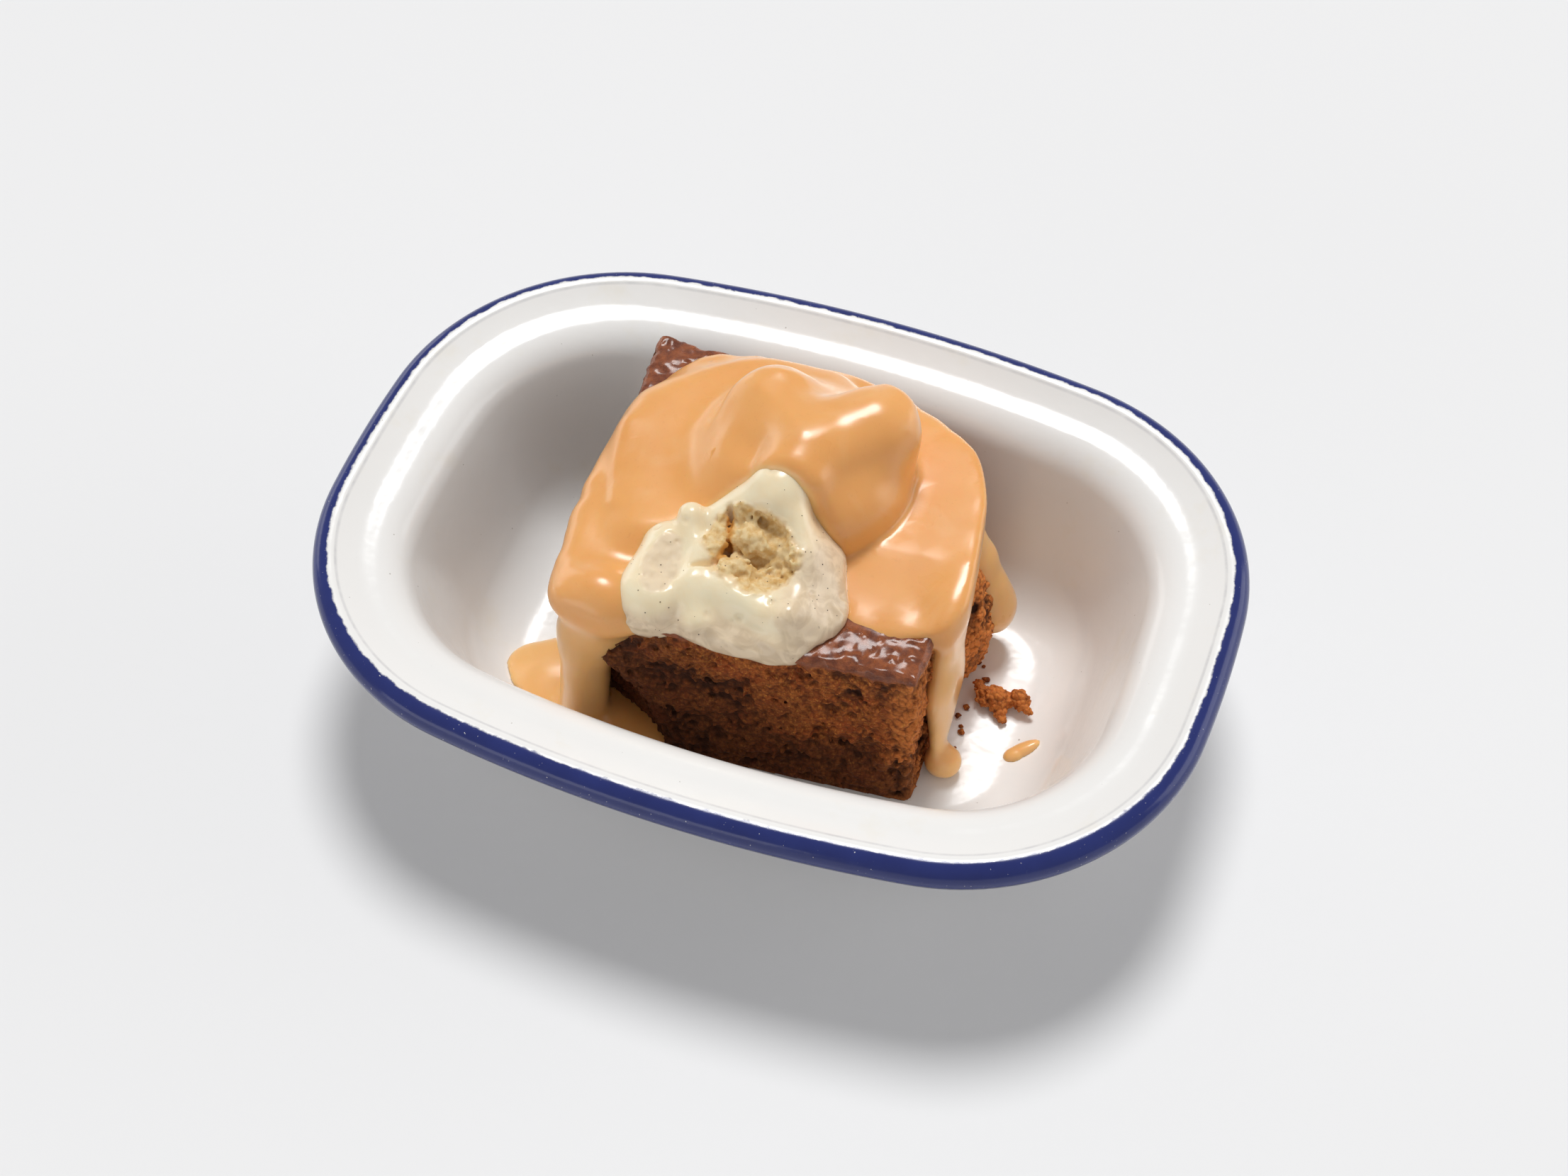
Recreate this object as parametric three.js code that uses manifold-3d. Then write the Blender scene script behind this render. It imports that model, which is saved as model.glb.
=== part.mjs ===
// Sticky toffee pudding with vanilla ice cream and toffee sauce, served in an enamelled pie dish.
// Millimetres, +Z up. The origin is on the ground under the middle of the dish, +X along its length.
import * as THREE from 'three';
import { mergeVertices } from 'three/addons/utils/BufferGeometryUtils.js';
import Module from 'manifold-3d';

const wasm = await Module();
wasm.setup();

// ---- driving dimensions ----

const DISH = {
  length: 180, width: 130.4,         // over the rolled rim
  endRadius: 247, sideRadius: 313,   // plan radii of the short ends and the long sides, mid-rim
  cornerRadius: 46.85,               // plan radius of the corners, at the rim's middle
  rimRadius: 3.4, rimHeight: 37.4,   // section of the rolled rim and the height of its middle
  sheet: 1.2,                        // enamelled steel
  wallSlope: 70,                     // degrees from level
  shoulderRadius: 9,                 // bend from the flange down into the wall
  shoulderInset: 7.4,                // from the rim's middle to where that bend starts
  flangeTop: 38.2,
  lipInset: 5.2, lipRise: 0.3, lipSlope: 20,   // the flange turns up a little before it meets the roll
  footRadius: 14,                    // inside fillet between wall and floor
};
const PLAN_STEPS = { end: 1, corner: 8, side: 3 };   // per quarter of the plan
const FILLET_STEPS = 3;
const ROLL = { steps: 8, from: 115, sweep: 290 };    // degrees round the rolled rim

const CAKE = {
  corners: [[-35, -30.8], [36, -23.4], [35, 38.5], [-42, 42.5]],    // in plan, anticlockwise
  rounding: [9, 2, 30, 1.5],         // rounding width of each corner
  top: 42.6, edge: 2,                // height and rounding width of the upper edges
};
const BULGE = { centre: [34.5, 14, 13], radii: [6, 9, 15], blend: 3 };        // crumbling right side
const TORN = [
  { centre: [-34, -33, 4], radii: [20, 13, 26], blend: 3 },          // under the front left corner
  { centre: [24, -28, 14.5], radii: [7.5, 4.6, 5], blend: 1.5 },     // pit in the front face
];

// The part of the scoop that lies under the sauce.
const MOUND = [
  { centre: [2.5, 14, 46], radii: [16, 17, 12], turn: 20, blend: 1 },
  { centre: [-7, 13, 45], radii: [12, 14, 11.4], blend: 6 },
  { from: [1.4, 3.4, 56.4], to: [2, 11, 55.8], radii: [4.4, 5], blend: 4 },    // its crest, three ridges
  { from: [2, 11, 55.5], to: [12, 20.4, 56.4], radii: [5, 6.2], blend: 4 },
  { from: [2, 11, 55.5], to: [-8.5, 21, 53], radii: [5, 7], blend: 4 },
  { centre: [1.4, 6, 58.2], radii: [4.4, 6.6, 2.6], blend: 2 },
  { centre: [6.6, 15.6, 58.6], radii: [10.5, 5, 3], turn: 49, blend: 2 },
];
// The bare front of the scoop, which melts over the cake's front edge.
const SCOOP = [
  { centre: [1.5, -8, 44], radii: [14.4, 14, 9], turn: 10, blend: 5 },
  { from: [0, 1, 56.5], to: [5, -9, 50], radii: [4.5, 6.5], blend: 4 },             // ridge down the front
  { from: [-1, 0, 56], to: [-13, -6.5, 47], radii: [4.6, 3.5], blend: 3 },          // ridge down the left
  { from: [-8, -18, 45], to: [8.5, -18.5, 45], radii: [6, 6], blend: 3 },           // front lip
  { from: [-17.8, -12, 45], to: [-17.4, -22.5, 43], radii: [6, 7.5], blend: 4 },      // left lobe
  { from: [-11, -20, 46.5], to: [-4, -25, 43.5], radii: [3, 3], blend: 3 },
  { centre: [-2, -22.5, 42], radii: [15, 6, 4], blend: 3 },                         // melted foot
  { centre: [9, -22.3, 42], radii: [5.5, 5, 4.5], turn: 15, blend: 3 },
  { centre: [13, -14.4, 43.2], radii: [6, 6.8, 3.6], blend: 4 },
];
const CRATER = { centre: [-1.8, -12.4, 55.2], radii: [9.4, 7, 6], turn: -25, blend: 1.5 };   // broken open
const CREST_BLEND = 3;               // where the mound meets the bare front

// The sauce lies on the cake as two thick layers, the hump on the coat.
const COAT = {
  corners: [
    [-35, -30.4], [-19, -29.6], [21, -18.4], [29, -16], [37, -12], [40, -6], [39.4, 2], [38, 11],
    [36.2, 19.5], [32.5, 28], [27.5, 34], [17, 41], [2, 45.5], [-9, 45], [-24, 43], [-31, 40],
    [-35, 35], [-38.5, 27], [-40.5, 18], [-41.9, 8], [-40.9, -12], [-38.2, -26],
  ],
  edge: 6, hem: 39, bead: 3,         // rounding width of the upper edge, lower edge's height and rounding
};
const HUMP = {
  corners: [
    [0, 0], [12, 30], [0, 40], [-19, 39.5], [-32, 31], [-39, 22], [-39.6, 12], [-36, 2],
    [-32.4, -10], [-27, -15], [-14, -11],
  ],
  edge: 6, hem: 40, bead: 1,
};
const SOFT = 2;                      // rounding width of the corners of those two plans
const CRISP = { by: 4.2, from: 18, to: 32 };     // the upper edge gets sharper towards the right
// Heights of the tops: how they rise along X and Y, and how the coat droops to its right front.
const COAT_TOP = { z: 46, rise: 0.1, from: -6, to: 20, middle: 18 };
const DROOP = { slope: 0.22, startY: 3, length: 22, fromX: 4, toX: 14 };
const HUMP_TOP = { z: 50.2, alongX: 0.06, alongY: 0.02 };
const OVER_SCOOP = {
  depth: 2.8, blend: 4,
  edge: { y: 0.3, x: 0.6, bend: 0.026, reach: 15 },    // its edge across the scoop, a parabola in plan
  join: { by: 1.5, more: 4, from: -14, to: 2 },          // softer where it meets the hump, on the left
};
const SAUCE_FALLS = [
  // curtain off the front left corner
  { from: [-27.2, -25, 39.6], to: [-30, -25.5, 29], radii: [9, 6], squash: [1, 1.4, 1], blend: 3 },
  { from: [-31, -25.5, 30], to: [-32.8, -25.5, 4], radii: [5.2, 5], blend: 4 },
  // sheet down the right side and its run to the floor
  { from: [36.5, -4, 37.4], to: [36.8, -7, 24], radii: [8.5, 6], squash: [2.4, 1, 1], blend: 3 },
  { from: [36.8, -7, 24], to: [38, -12, 8], radii: [5.6, 2.8], squash: [1.8, 1, 1], blend: 3 },
  // tongue at the back of that side
  { from: [31, 21, 38], to: [34.8, 21.6, 24], radii: [5.4, 4.6], blend: 3 },
  { from: [34.6, 21.6, 23], to: [37.4, 21.4, 12], radii: [4.6, 6], blend: 2 },
];
const SAUCE_POOLS = [
  { centre: [-36.5, -18, 1.5], radii: [17, 10, 3.6], turn: 12, blend: 3 },    // puddle under the curtain
  { centre: [-26, -25.5, 1.5], radii: [12.5, 6.5, 3], blend: 3 },
  { centre: [39.5, -13.3, 4], radii: [3.8, 3.8, 3.6], blend: 2 },    // bead at the end of the run
  { centre: [26.5, -11, 40.4], radii: [10, 6.2, 2.2], turn: 8, blend: 1 },    // thick front edge
];

const CRUMB_LUMPS = [
  { centre: [44.6, 5.4, 3.6], radii: [4.2, 2.4, 2.2], turn: 8, blend: 1 },
  { centre: [49.3, 5.8, 4.2], radii: [2.3, 2, 2.4], blend: 1 },
  { from: [46, 4, 3], to: [47.4, 1.6, 2.4], radii: [1.6, 0.9], blend: 1 },
];

const GAP = 0.5;                     // clearance between neighbouring solids
const CELLS = { cake: 4.5, ice: 2.9, sauce: 4.3, crumb: 1.8 };        // grid spacing of each food's mesh

// ---- small vector and distance helpers ----

const { hypot, min, max, abs, sin, cos, tan, sqrt, atan2, PI } = Math;
const rad = degrees => degrees * PI / 180;
const clamp = (v, lo, hi) => min(max(v, lo), hi);

// Smooth union and intersection of distances, blended over a width.
const join = (a, b, width) => {
  const h = max(width - abs(a - b), 0) / width;
  return min(a, b) - h * h * width / 4;
};
const meet = (a, b, width) => -join(-a, -b, width);

// Distance to an ellipsoid that may be turned about Z.
function ellipsoid(p, { centre, radii, turn = 0 }) {
  const [c, s] = [cos(rad(turn)), sin(rad(turn))];
  const [dx, dy, dz] = p.map((v, i) => v - centre[i]);
  const q = [dx * c + dy * s, dy * c - dx * s, dz];
  const reach = hypot(...q.map((v, i) => v / radii[i]));
  const slope = hypot(...q.map((v, i) => v / radii[i] ** 2));
  return slope === 0 ? -min(...radii) : reach * (reach - 1) / slope;
}

// Distance to a round bar whose radius changes from end to end, thinned along an axis by squash.
function bar(p, { from, to, radii, squash = [1, 1, 1] }) {
  const axis = to.map((v, i) => (v - from[i]) * squash[i]);
  const q = p.map((v, i) => (v - from[i]) * squash[i]);
  const dot = (a, b) => a.reduce((sum, v, i) => sum + v * b[i], 0);
  const t = clamp(dot(q, axis) / dot(axis, axis), 0, 1);
  const away = hypot(...q.map((v, i) => v - t * axis[i])) - (radii[0] + t * (radii[1] - radii[0]));
  return away / max(...squash);
}

// The union of several ellipsoids and bars, each blended in over its own width.
const lump = (p, part) => part.centre ? ellipsoid(p, part) : bar(p, part);
const heap = (p, parts, start = 1e3) => (
  parts.reduce((d, part) => join(d, lump(p, part), part.blend), start)
);

// From 0 to 1 as a value passes from one limit to another.
function ease(value, from, to) {
  const t = clamp((value - from) / (to - from), 0, 1);
  return t * t * (3 - 2 * t);
}

// Distance in plan to a convex shape with rounded corners, given anticlockwise.
function planDistance([x, y], corners, rounding) {
  const sides = corners.map(([ax, ay], i) => {
    const [bx, by] = corners[(i + 1) % corners.length];
    return ((x - ax) * (by - ay) - (y - ay) * (bx - ax)) / hypot(bx - ax, by - ay);
  });
  return sides.reduce((d, side, i) => max(d, meet(side, sides.at(i - 1), rounding[i])), -Infinity);
}

// ---- meshing a distance field: one vertex in each grid cell that the surface crosses ----

function meshField(field, low, high, cell) {
  const lo = low.map(v => v - cell);
  const n = lo.map((v, i) => Math.ceil((high[i] - v) / cell) + 2);
  const at = (i, j, k) => (k * n[1] + j) * n[0] + i;
  const value = new Float64Array(n[0] * n[1] * n[2]);
  for (let k = 0; k < n[2]; k++) for (let j = 0; j < n[1]; j++) for (let i = 0; i < n[0]; i++)
    value[at(i, j, k)] = field([lo[0] + i * cell, lo[1] + j * cell, lo[2] + k * cell]);
  const positions = [];
  const vertexOf = new Int32Array(value.length).fill(-1);
  for (let k = 0; k < n[2] - 1; k++) for (let j = 0; j < n[1] - 1; j++) for (let i = 0; i < n[0] - 1; i++) {
    const sum = [0, 0, 0];
    let crossings = 0;
    for (let axis = 0; axis < 3; axis++) for (let u = 0; u < 2; u++) for (let v = 0; v < 2; v++) {
      const start = [0, 0, 0];
      start[(axis + 1) % 3] = u;
      start[(axis + 2) % 3] = v;
      const end = [...start];
      end[axis] = 1;
      const a = value[at(i + start[0], j + start[1], k + start[2])];
      const b = value[at(i + end[0], j + end[1], k + end[2])];
      if ((a < 0) === (b < 0)) continue;
      const t = a / (a - b);
      for (let d = 0; d < 3; d++) sum[d] += start[d] + t * (end[d] - start[d]);
      crossings++;
    }
    if (!crossings) continue;
    vertexOf[at(i, j, k)] = positions.length / 3;
    [i, j, k].forEach((base, d) => positions.push(lo[d] + (base + sum[d] / crossings) * cell));
  }
  const index = [];
  for (let k = 1; k < n[2] - 1; k++) for (let j = 1; j < n[1] - 1; j++) for (let i = 1; i < n[0] - 1; i++) {
    for (let axis = 0; axis < 3; axis++) {
      const step = [0, 0, 0];
      step[axis] = 1;
      const a = value[at(i, j, k)];
      const b = value[at(i + step[0], j + step[1], k + step[2])];
      if ((a < 0) === (b < 0)) continue;
      const ring = [[1, 1], [0, 1], [0, 0], [1, 0]].map(([u, v]) => {
        const c = [i, j, k];
        c[(axis + 1) % 3] -= u;
        c[(axis + 2) % 3] -= v;
        return vertexOf[at(...c)];
      });
      if (a < 0) ring.reverse();
      const [p, q, r, s] = ring;
      index.push(p, s, r, p, r, q);
    }
  }
  const geometry = new THREE.BufferGeometry();
  geometry.setAttribute('position', new THREE.Float32BufferAttribute(positions, 3));
  geometry.setIndex(index);
  return geometry;
}

// ---- joining and cutting ----

function toSolid(geometry) {
  const bare = geometry.clone();
  bare.deleteAttribute('normal');
  bare.deleteAttribute('uv');
  const merged = mergeVertices(bare, 1e-4);
  const mesh = new wasm.Mesh({
    numProp: 3,
    vertProperties: new Float32Array(merged.attributes.position.array),
    triVerts: new Uint32Array(merged.index.array),
  });
  return new wasm.Manifold(mesh);
}

function toGeometry(solid) {
  const mesh = solid.getMesh();
  const geometry = new THREE.BufferGeometry();
  geometry.setAttribute('position', new THREE.BufferAttribute(mesh.vertProperties, 3));
  geometry.setIndex(new THREE.BufferAttribute(mesh.triVerts, 1));
  return geometry;
}

// ---- the dish: one shell swept round a plan of eight arcs ----

// The corner arc touches an end arc and a side arc, so its centre lies at known distances from theirs.
function planOfQuarter() {
  const endCentre = DISH.length / 2 - DISH.rimRadius - DISH.endRadius;      // on the X axis
  const sideCentre = DISH.width / 2 - DISH.rimRadius - DISH.sideRadius;     // on the Y axis
  const toEnd = DISH.endRadius - DISH.cornerRadius;
  const toSide = DISH.sideRadius - DISH.cornerRadius;
  const between = hypot(endCentre, sideCentre);
  const along = (toEnd ** 2 - toSide ** 2 + between ** 2) / (2 * between);
  const aside = sqrt(toEnd ** 2 - along ** 2);
  const [ux, uy] = [-endCentre / between, sideCentre / between];
  const corner = [endCentre + along * ux - aside * uy, along * uy + aside * ux];
  const low = atan2(corner[1], corner[0] - endCentre);
  const high = atan2(corner[1] - sideCentre, corner[0]);
  return { endCentre, sideCentre, corner, low, high };
}

const PLAN = planOfQuarter();

// Points and outward directions round the plan, anticlockwise from the middle of the right end.
function planPoints() {
  const { endCentre, sideCentre, corner, low, high } = PLAN;
  const arcs = [
    { centre: [endCentre, 0], radius: DISH.endRadius, from: 0, to: low, steps: PLAN_STEPS.end },
    { centre: corner, radius: DISH.cornerRadius, from: low, to: high, steps: PLAN_STEPS.corner },
    { centre: [0, sideCentre], radius: DISH.sideRadius, from: high, to: PI / 2, steps: PLAN_STEPS.side },
  ];
  const quarter = [];
  for (const { centre, radius, from, to, steps } of arcs) for (let i = 0; i < steps; i++) {
    const angle = from + (to - from) * i / steps;
    const [nx, ny] = [cos(angle), sin(angle)];
    quarter.push({ x: centre[0] + radius * nx, y: centre[1] + radius * ny, nx, ny });
  }
  const sideMiddle = { x: 0, y: sideCentre + DISH.sideRadius, nx: 0, ny: 1 };
  const mirrored = quarter.slice(1).reverse().map(p => ({ ...p, x: -p.x, nx: -p.nx }));
  const half = [...quarter, sideMiddle, ...mirrored];
  return [...half, ...half.map(p => ({ x: -p.x, y: -p.y, nx: -p.nx, ny: -p.ny }))];
}

// The bowl's section: a floor, a foot fillet, a straight wall, a shoulder and the flange, as insets from
// the rim's middle and heights. The wall runs from the floor fillet's end to the shoulder's start.
function bowlSection() {
  const slope = rad(DISH.wallSlope);
  const [out, up] = [sin(slope), 1 - cos(slope)];
  const shoulder = [DISH.shoulderInset, DISH.flangeTop - DISH.shoulderRadius];
  const wallTop = [shoulder[0] + DISH.shoulderRadius * out, DISH.flangeTop - DISH.shoulderRadius * up];
  const wallFoot = DISH.sheet + DISH.footRadius * up;
  const floorInset = wallTop[0] + (wallTop[1] - wallFoot) / tan(slope) + DISH.footRadius * out;
  return { slope, shoulder, wallTop, foot: [floorInset, DISH.sheet + DISH.footRadius] };
}

const SECTION = bowlSection();

// The upper surface from the floor out to the lip, as [inset, height, slope].
function upperProfile() {
  const { slope, shoulder, foot } = SECTION;
  const points = [];
  for (let i = 0; i <= FILLET_STEPS; i++) {
    const a = slope * i / FILLET_STEPS;
    points.push([foot[0] - DISH.footRadius * sin(a), foot[1] - DISH.footRadius * cos(a), a]);
  }
  for (let i = FILLET_STEPS; i >= 0; i--) {
    const a = slope * i / FILLET_STEPS;
    const radius = DISH.shoulderRadius;
    points.push([shoulder[0] + radius * sin(a), shoulder[1] + radius * cos(a), a]);
  }
  points.push([DISH.lipInset, DISH.flangeTop + DISH.lipRise, rad(DISH.lipSlope)]);
  return points;
}

// The whole section of the shell, from the floor's middle over the rim and back underneath.
function shellProfile() {
  const profile = upperProfile();
  const upper = profile.map(([inset, z]) => [inset, z]);
  const under = ([inset, z, a]) => [inset - DISH.sheet * sin(a), z - DISH.sheet * cos(a)];
  const lower = profile.map(under).reverse();
  const roll = [];
  for (let i = 0; i <= ROLL.steps; i++) {
    const angle = rad(ROLL.from - ROLL.sweep * i / ROLL.steps);
    roll.push([DISH.rimRadius * -cos(angle), DISH.rimHeight + DISH.rimRadius * sin(angle)]);
  }
  return [...upper, ...roll, ...lower];
}

function dishGeometry() {
  const plan = planPoints();
  const profile = shellProfile();
  const count = plan.length;
  const positions = [];
  for (const [inset, z] of profile) for (const p of plan) {
    positions.push(p.x - inset * p.nx, p.y - inset * p.ny, z);
  }
  const floorMiddle = positions.length / 3;
  positions.push(0, 0, profile[0][1], 0, 0, profile[profile.length - 1][1]);
  const last = (profile.length - 1) * count;
  const index = [];
  for (let i = 0; i < count; i++) {
    const next = (i + 1) % count;
    for (let row = 0; row < last; row += count) {
      const [a, b, c, d] = [row + i, row + next, row + count + next, row + count + i];
      index.push(a, d, c, a, c, b);
    }
    index.push(floorMiddle, i, next, floorMiddle + 1, last + next, last + i);
  }
  const geometry = new THREE.BufferGeometry();
  geometry.setAttribute('position', new THREE.Float32BufferAttribute(positions, 3));
  geometry.setIndex(index);
  return geometry;
}

// How far a point lies inside the line of the rim's middle, in plan.
function insetAt(x, y) {
  const { endCentre, sideCentre, corner, low, high } = PLAN;
  const [ax, ay] = [abs(x), abs(y)];
  if (atan2(ay, ax - endCentre) < low) return DISH.endRadius - hypot(ax - endCentre, ay);
  if (atan2(ay - sideCentre, ax) > high) return DISH.sideRadius - hypot(ax, ay - sideCentre);
  return DISH.cornerRadius - hypot(ax - corner[0], ay - corner[1]);
}

// Distance to the dish's upper surface, negative in the space of the bowl.
function bowl([x, y, z]) {
  const { slope, shoulder, wallTop, foot } = SECTION;
  const [c, s] = [cos(slope), sin(slope)];
  const inset = insetAt(x, y);
  const [footX, footZ] = [inset - foot[0], z - foot[1]];
  const [shoulderX, shoulderZ] = [inset - shoulder[0], z - shoulder[1]];
  if (footX > 0) return DISH.sheet - z;
  if (footZ * s < footX * c) return hypot(footX, footZ) - DISH.footRadius;
  if (shoulderX < 0) return DISH.flangeTop - z;
  if (shoulderX * c < shoulderZ * s) return DISH.shoulderRadius - hypot(shoulderX, shoulderZ);
  return (wallTop[0] - inset) * s + (wallTop[1] - z) * c;
}

// ---- the pudding: a hand-cut square of cake with a soft crust ----

function cake(p) {
  const plan = planDistance(p, CAKE.corners, CAKE.rounding);
  const block = meet(plan, p[2] - CAKE.top, CAKE.edge);
  const whole = join(meet(block, bowl(p) + GAP, 1), ellipsoid(p, BULGE), BULGE.blend);
  const torn = TORN.reduce((d, part) => meet(d, -ellipsoid(p, part), part.blend), whole);
  return max(torn, bowl(p) + GAP);
}

// ---- the ice cream: a rough scoop that has begun to melt over the cake's front edge ----

function iceCream(p) {
  const scoop = join(heap(p, MOUND), heap(p, SCOOP), CREST_BLEND);
  const broken = meet(scoop, -ellipsoid(p, CRATER), CRATER.blend);
  return meet(broken, GAP - cake(p), 0.5);
}

// ---- the toffee sauce: its outer form, from which the cake and the ice cream are cut ----

// A poured layer over a convex plan, between its hem and the given height of its top.
function layer(p, top, { corners, edge, hem, bead }) {
  const plan = planDistance(p, corners, corners.map(() => SOFT));
  const crisp = CRISP.by * ease(p[0], CRISP.from, CRISP.to);
  return meet(meet(plan, p[2] - top, edge - crisp), hem - p[2], bead);
}

function sauceForm(p) {
  const [x, y] = p;
  const { edge, depth } = OVER_SCOOP;
  const droop = clamp(DROOP.startY - y, 0, DROOP.length) * ease(x, DROOP.fromX, DROOP.toX);
  const rise = COAT_TOP.rise * clamp(x - COAT_TOP.middle, COAT_TOP.from, COAT_TOP.to);
  const coat = layer(p, COAT_TOP.z + rise - DROOP.slope * droop, COAT);
  const hump = layer(p, HUMP_TOP.z + HUMP_TOP.alongX * x + HUMP_TOP.alongY * y, HUMP);
  const edgeY = edge.y - edge.bend * min(abs(x - edge.x), edge.reach) ** 2;
  const onScoop = meet(heap(p, MOUND) - depth, edgeY - y, OVER_SCOOP.blend);
  const { by, more, from, to } = OVER_SCOOP.join;
  const soft = by + more * ease(-x, from, to);
  const onTop = join(join(coat, hump, 3), onScoop, soft);
  return meet(heap(p, SAUCE_POOLS, heap(p, SAUCE_FALLS, onTop)), bowl(p) + GAP, 0.5);
}

// ---- a crumb that has fallen off the cake ----

const crumb = p => meet(heap(p, CRUMB_LUMPS), bowl(p) + GAP, 0.5);

// ---- assembly ----

const FINISH = {
  enamel: new THREE.MeshStandardMaterial({ color: '#e9e8e6', roughness: 0.2, metalness: 0 }),
  cake: new THREE.MeshStandardMaterial({ color: '#6b351d', roughness: 0.85, metalness: 0 }),
  ice: new THREE.MeshStandardMaterial({ color: '#e6dfc0', roughness: 0.4, metalness: 0 }),
  sauce: new THREE.MeshStandardMaterial({ color: '#d99a5b', roughness: 0.25, metalness: 0 }),
};
const FOOD_BOX = [[-60, -45, 0], [60, 50, 76]];    // the room that the food is meshed in

const group = new THREE.Group();

function addPiece(name, geometry, finish) {
  const mesh = new THREE.Mesh(geometry, finish);
  mesh.name = name;
  group.add(mesh);
}

const meshFood = (field, cell) => meshField(field, ...FOOD_BOX, cell);
const roomFor = (field, cell) => toSolid(meshFood(p => field(p) - GAP, cell));

const sauce = toSolid(meshFood(sauceForm, CELLS.sauce))
  .subtract(roomFor(cake, CELLS.cake))
  .subtract(roomFor(iceCream, CELLS.ice));

addPiece('dish', dishGeometry(), FINISH.enamel);
addPiece('pudding', meshFood(cake, CELLS.cake), FINISH.cake);
addPiece('ice_cream', meshFood(iceCream, CELLS.ice), FINISH.ice);
addPiece('toffee_sauce', toGeometry(sauce), FINISH.sauce);
addPiece('cake_crumb', meshFood(crumb, CELLS.crumb), FINISH.cake);

export default group;
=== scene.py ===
import itertools
import math

import bmesh
import bpy
import numpy as np
import openvdb
from mathutils import Matrix, Vector


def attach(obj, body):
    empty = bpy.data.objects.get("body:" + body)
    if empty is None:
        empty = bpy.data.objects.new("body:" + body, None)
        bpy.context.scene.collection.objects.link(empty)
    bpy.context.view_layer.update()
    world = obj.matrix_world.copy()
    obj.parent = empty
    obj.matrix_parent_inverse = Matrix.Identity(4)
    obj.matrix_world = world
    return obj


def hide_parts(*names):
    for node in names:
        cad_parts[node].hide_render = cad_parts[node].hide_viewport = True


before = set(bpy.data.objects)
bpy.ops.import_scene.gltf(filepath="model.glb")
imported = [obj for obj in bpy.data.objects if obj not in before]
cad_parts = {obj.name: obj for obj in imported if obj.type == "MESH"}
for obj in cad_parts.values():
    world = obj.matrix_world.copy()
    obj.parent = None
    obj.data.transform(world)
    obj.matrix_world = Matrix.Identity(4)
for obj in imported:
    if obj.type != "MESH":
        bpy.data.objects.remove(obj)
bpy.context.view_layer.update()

# Lengths are in millimetres up to the moment a mesh is made. The frame is the CAD's: +Z up, the dish's
# length along X, the cake's open face towards -Y.
MM = 0.001

# ---- sizes shared with the CAD model ----

DISH = dict(
    length=180, width=130.4, end_radius=247, side_radius=313, corner_radius=46.85,
    rim_radius=3.4, rim_height=37.4, sheet=1.2, wall_slope=math.radians(70),
    shoulder_radius=9, shoulder_inset=7.4, flange_top=38.2,
    lip_inset=5.2, lip_rise=0.3, lip_slope=math.radians(20), foot_radius=14,
)


# ---- distances: negative inside, in millimetres, for many points at once ----

def join(a, b, width):
    """Union of two distances, rounded where they meet."""
    h = np.maximum(width - np.abs(a - b), 0) / width
    return np.minimum(a, b) - h * h * width / 4


def meet(a, b, width):
    """The part that two distances share, rounded where they meet."""
    return -join(-a, -b, width)


def ellipsoid(p, centre, radii, turn=0.0):
    """Distance to an ellipsoid turned about Z by that many degrees."""
    q = p - np.asarray(centre, float)
    c, s = math.cos(math.radians(turn)), math.sin(math.radians(turn))
    x, y, z = q[:, 0] * c + q[:, 1] * s, q[:, 1] * c - q[:, 0] * s, q[:, 2]
    a, b, d = radii
    reach = np.sqrt((x / a) ** 2 + (y / b) ** 2 + (z / d) ** 2)
    slope = np.sqrt((x / a**2) ** 2 + (y / b**2) ** 2 + (z / d**2) ** 2)
    return reach * (reach - 1) / np.maximum(slope, 1e-6)


def bar(p, start, end, radii, squash=(1, 1, 1)):
    """Distance to a bar that tapers from one radius to another, thinned along an axis by squash."""
    squash = np.array(squash, float)
    axis = np.subtract(end, start) * squash
    q = (p - np.asarray(start, float)) * squash
    t = np.clip(q @ axis / (axis @ axis), 0, 1)
    radius = radii[0] + t * (radii[1] - radii[0])
    return (np.linalg.norm(q - t[:, None] * axis, axis=1) - radius) / squash.max()


def step(value, low, high):
    """Smooth rise from 0 at low to 1 at high."""
    t = np.clip((value - low) / (high - low), 0, 1)
    return t * t * (3 - 2 * t)


# ---- seeded noise ----

HASH = dict(
    x=73856093, y=19349663, z=83492791, seed=2654435761,
    mixer=0x45D9F3B, kept=0xFFFFFFFF, used=0xFFFFFF,
)


def cell_value(cell, seed):
    """A number from 0 to 1 for each whole-number cell, the same on every run."""
    c = cell.astype(np.int64)
    h = (c[:, 0] * HASH["x"]) ^ (c[:, 1] * HASH["y"]) ^ (c[:, 2] * HASH["z"]) ^ (seed * HASH["seed"])
    h &= HASH["kept"]
    for _ in range(2):
        h = ((h ^ (h >> 16)) * HASH["mixer"]) & HASH["kept"]
    return ((h ^ (h >> 16)) & HASH["used"]) / float(HASH["used"])


def noise(p, size, seed):
    """Smooth noise between -1 and 1 with features about size across."""
    q = p / size
    base = np.floor(q)
    f = q - base
    f = f * f * (3 - 2 * f)
    total = np.zeros(len(p))
    for corner in itertools.product((0, 1), repeat=3):
        weight = np.prod(np.where(corner, f, 1 - f), axis=1)
        total += weight * cell_value(base + corner, seed)
    return total * 2 - 1


FAR_CELLS = 9.0


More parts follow.
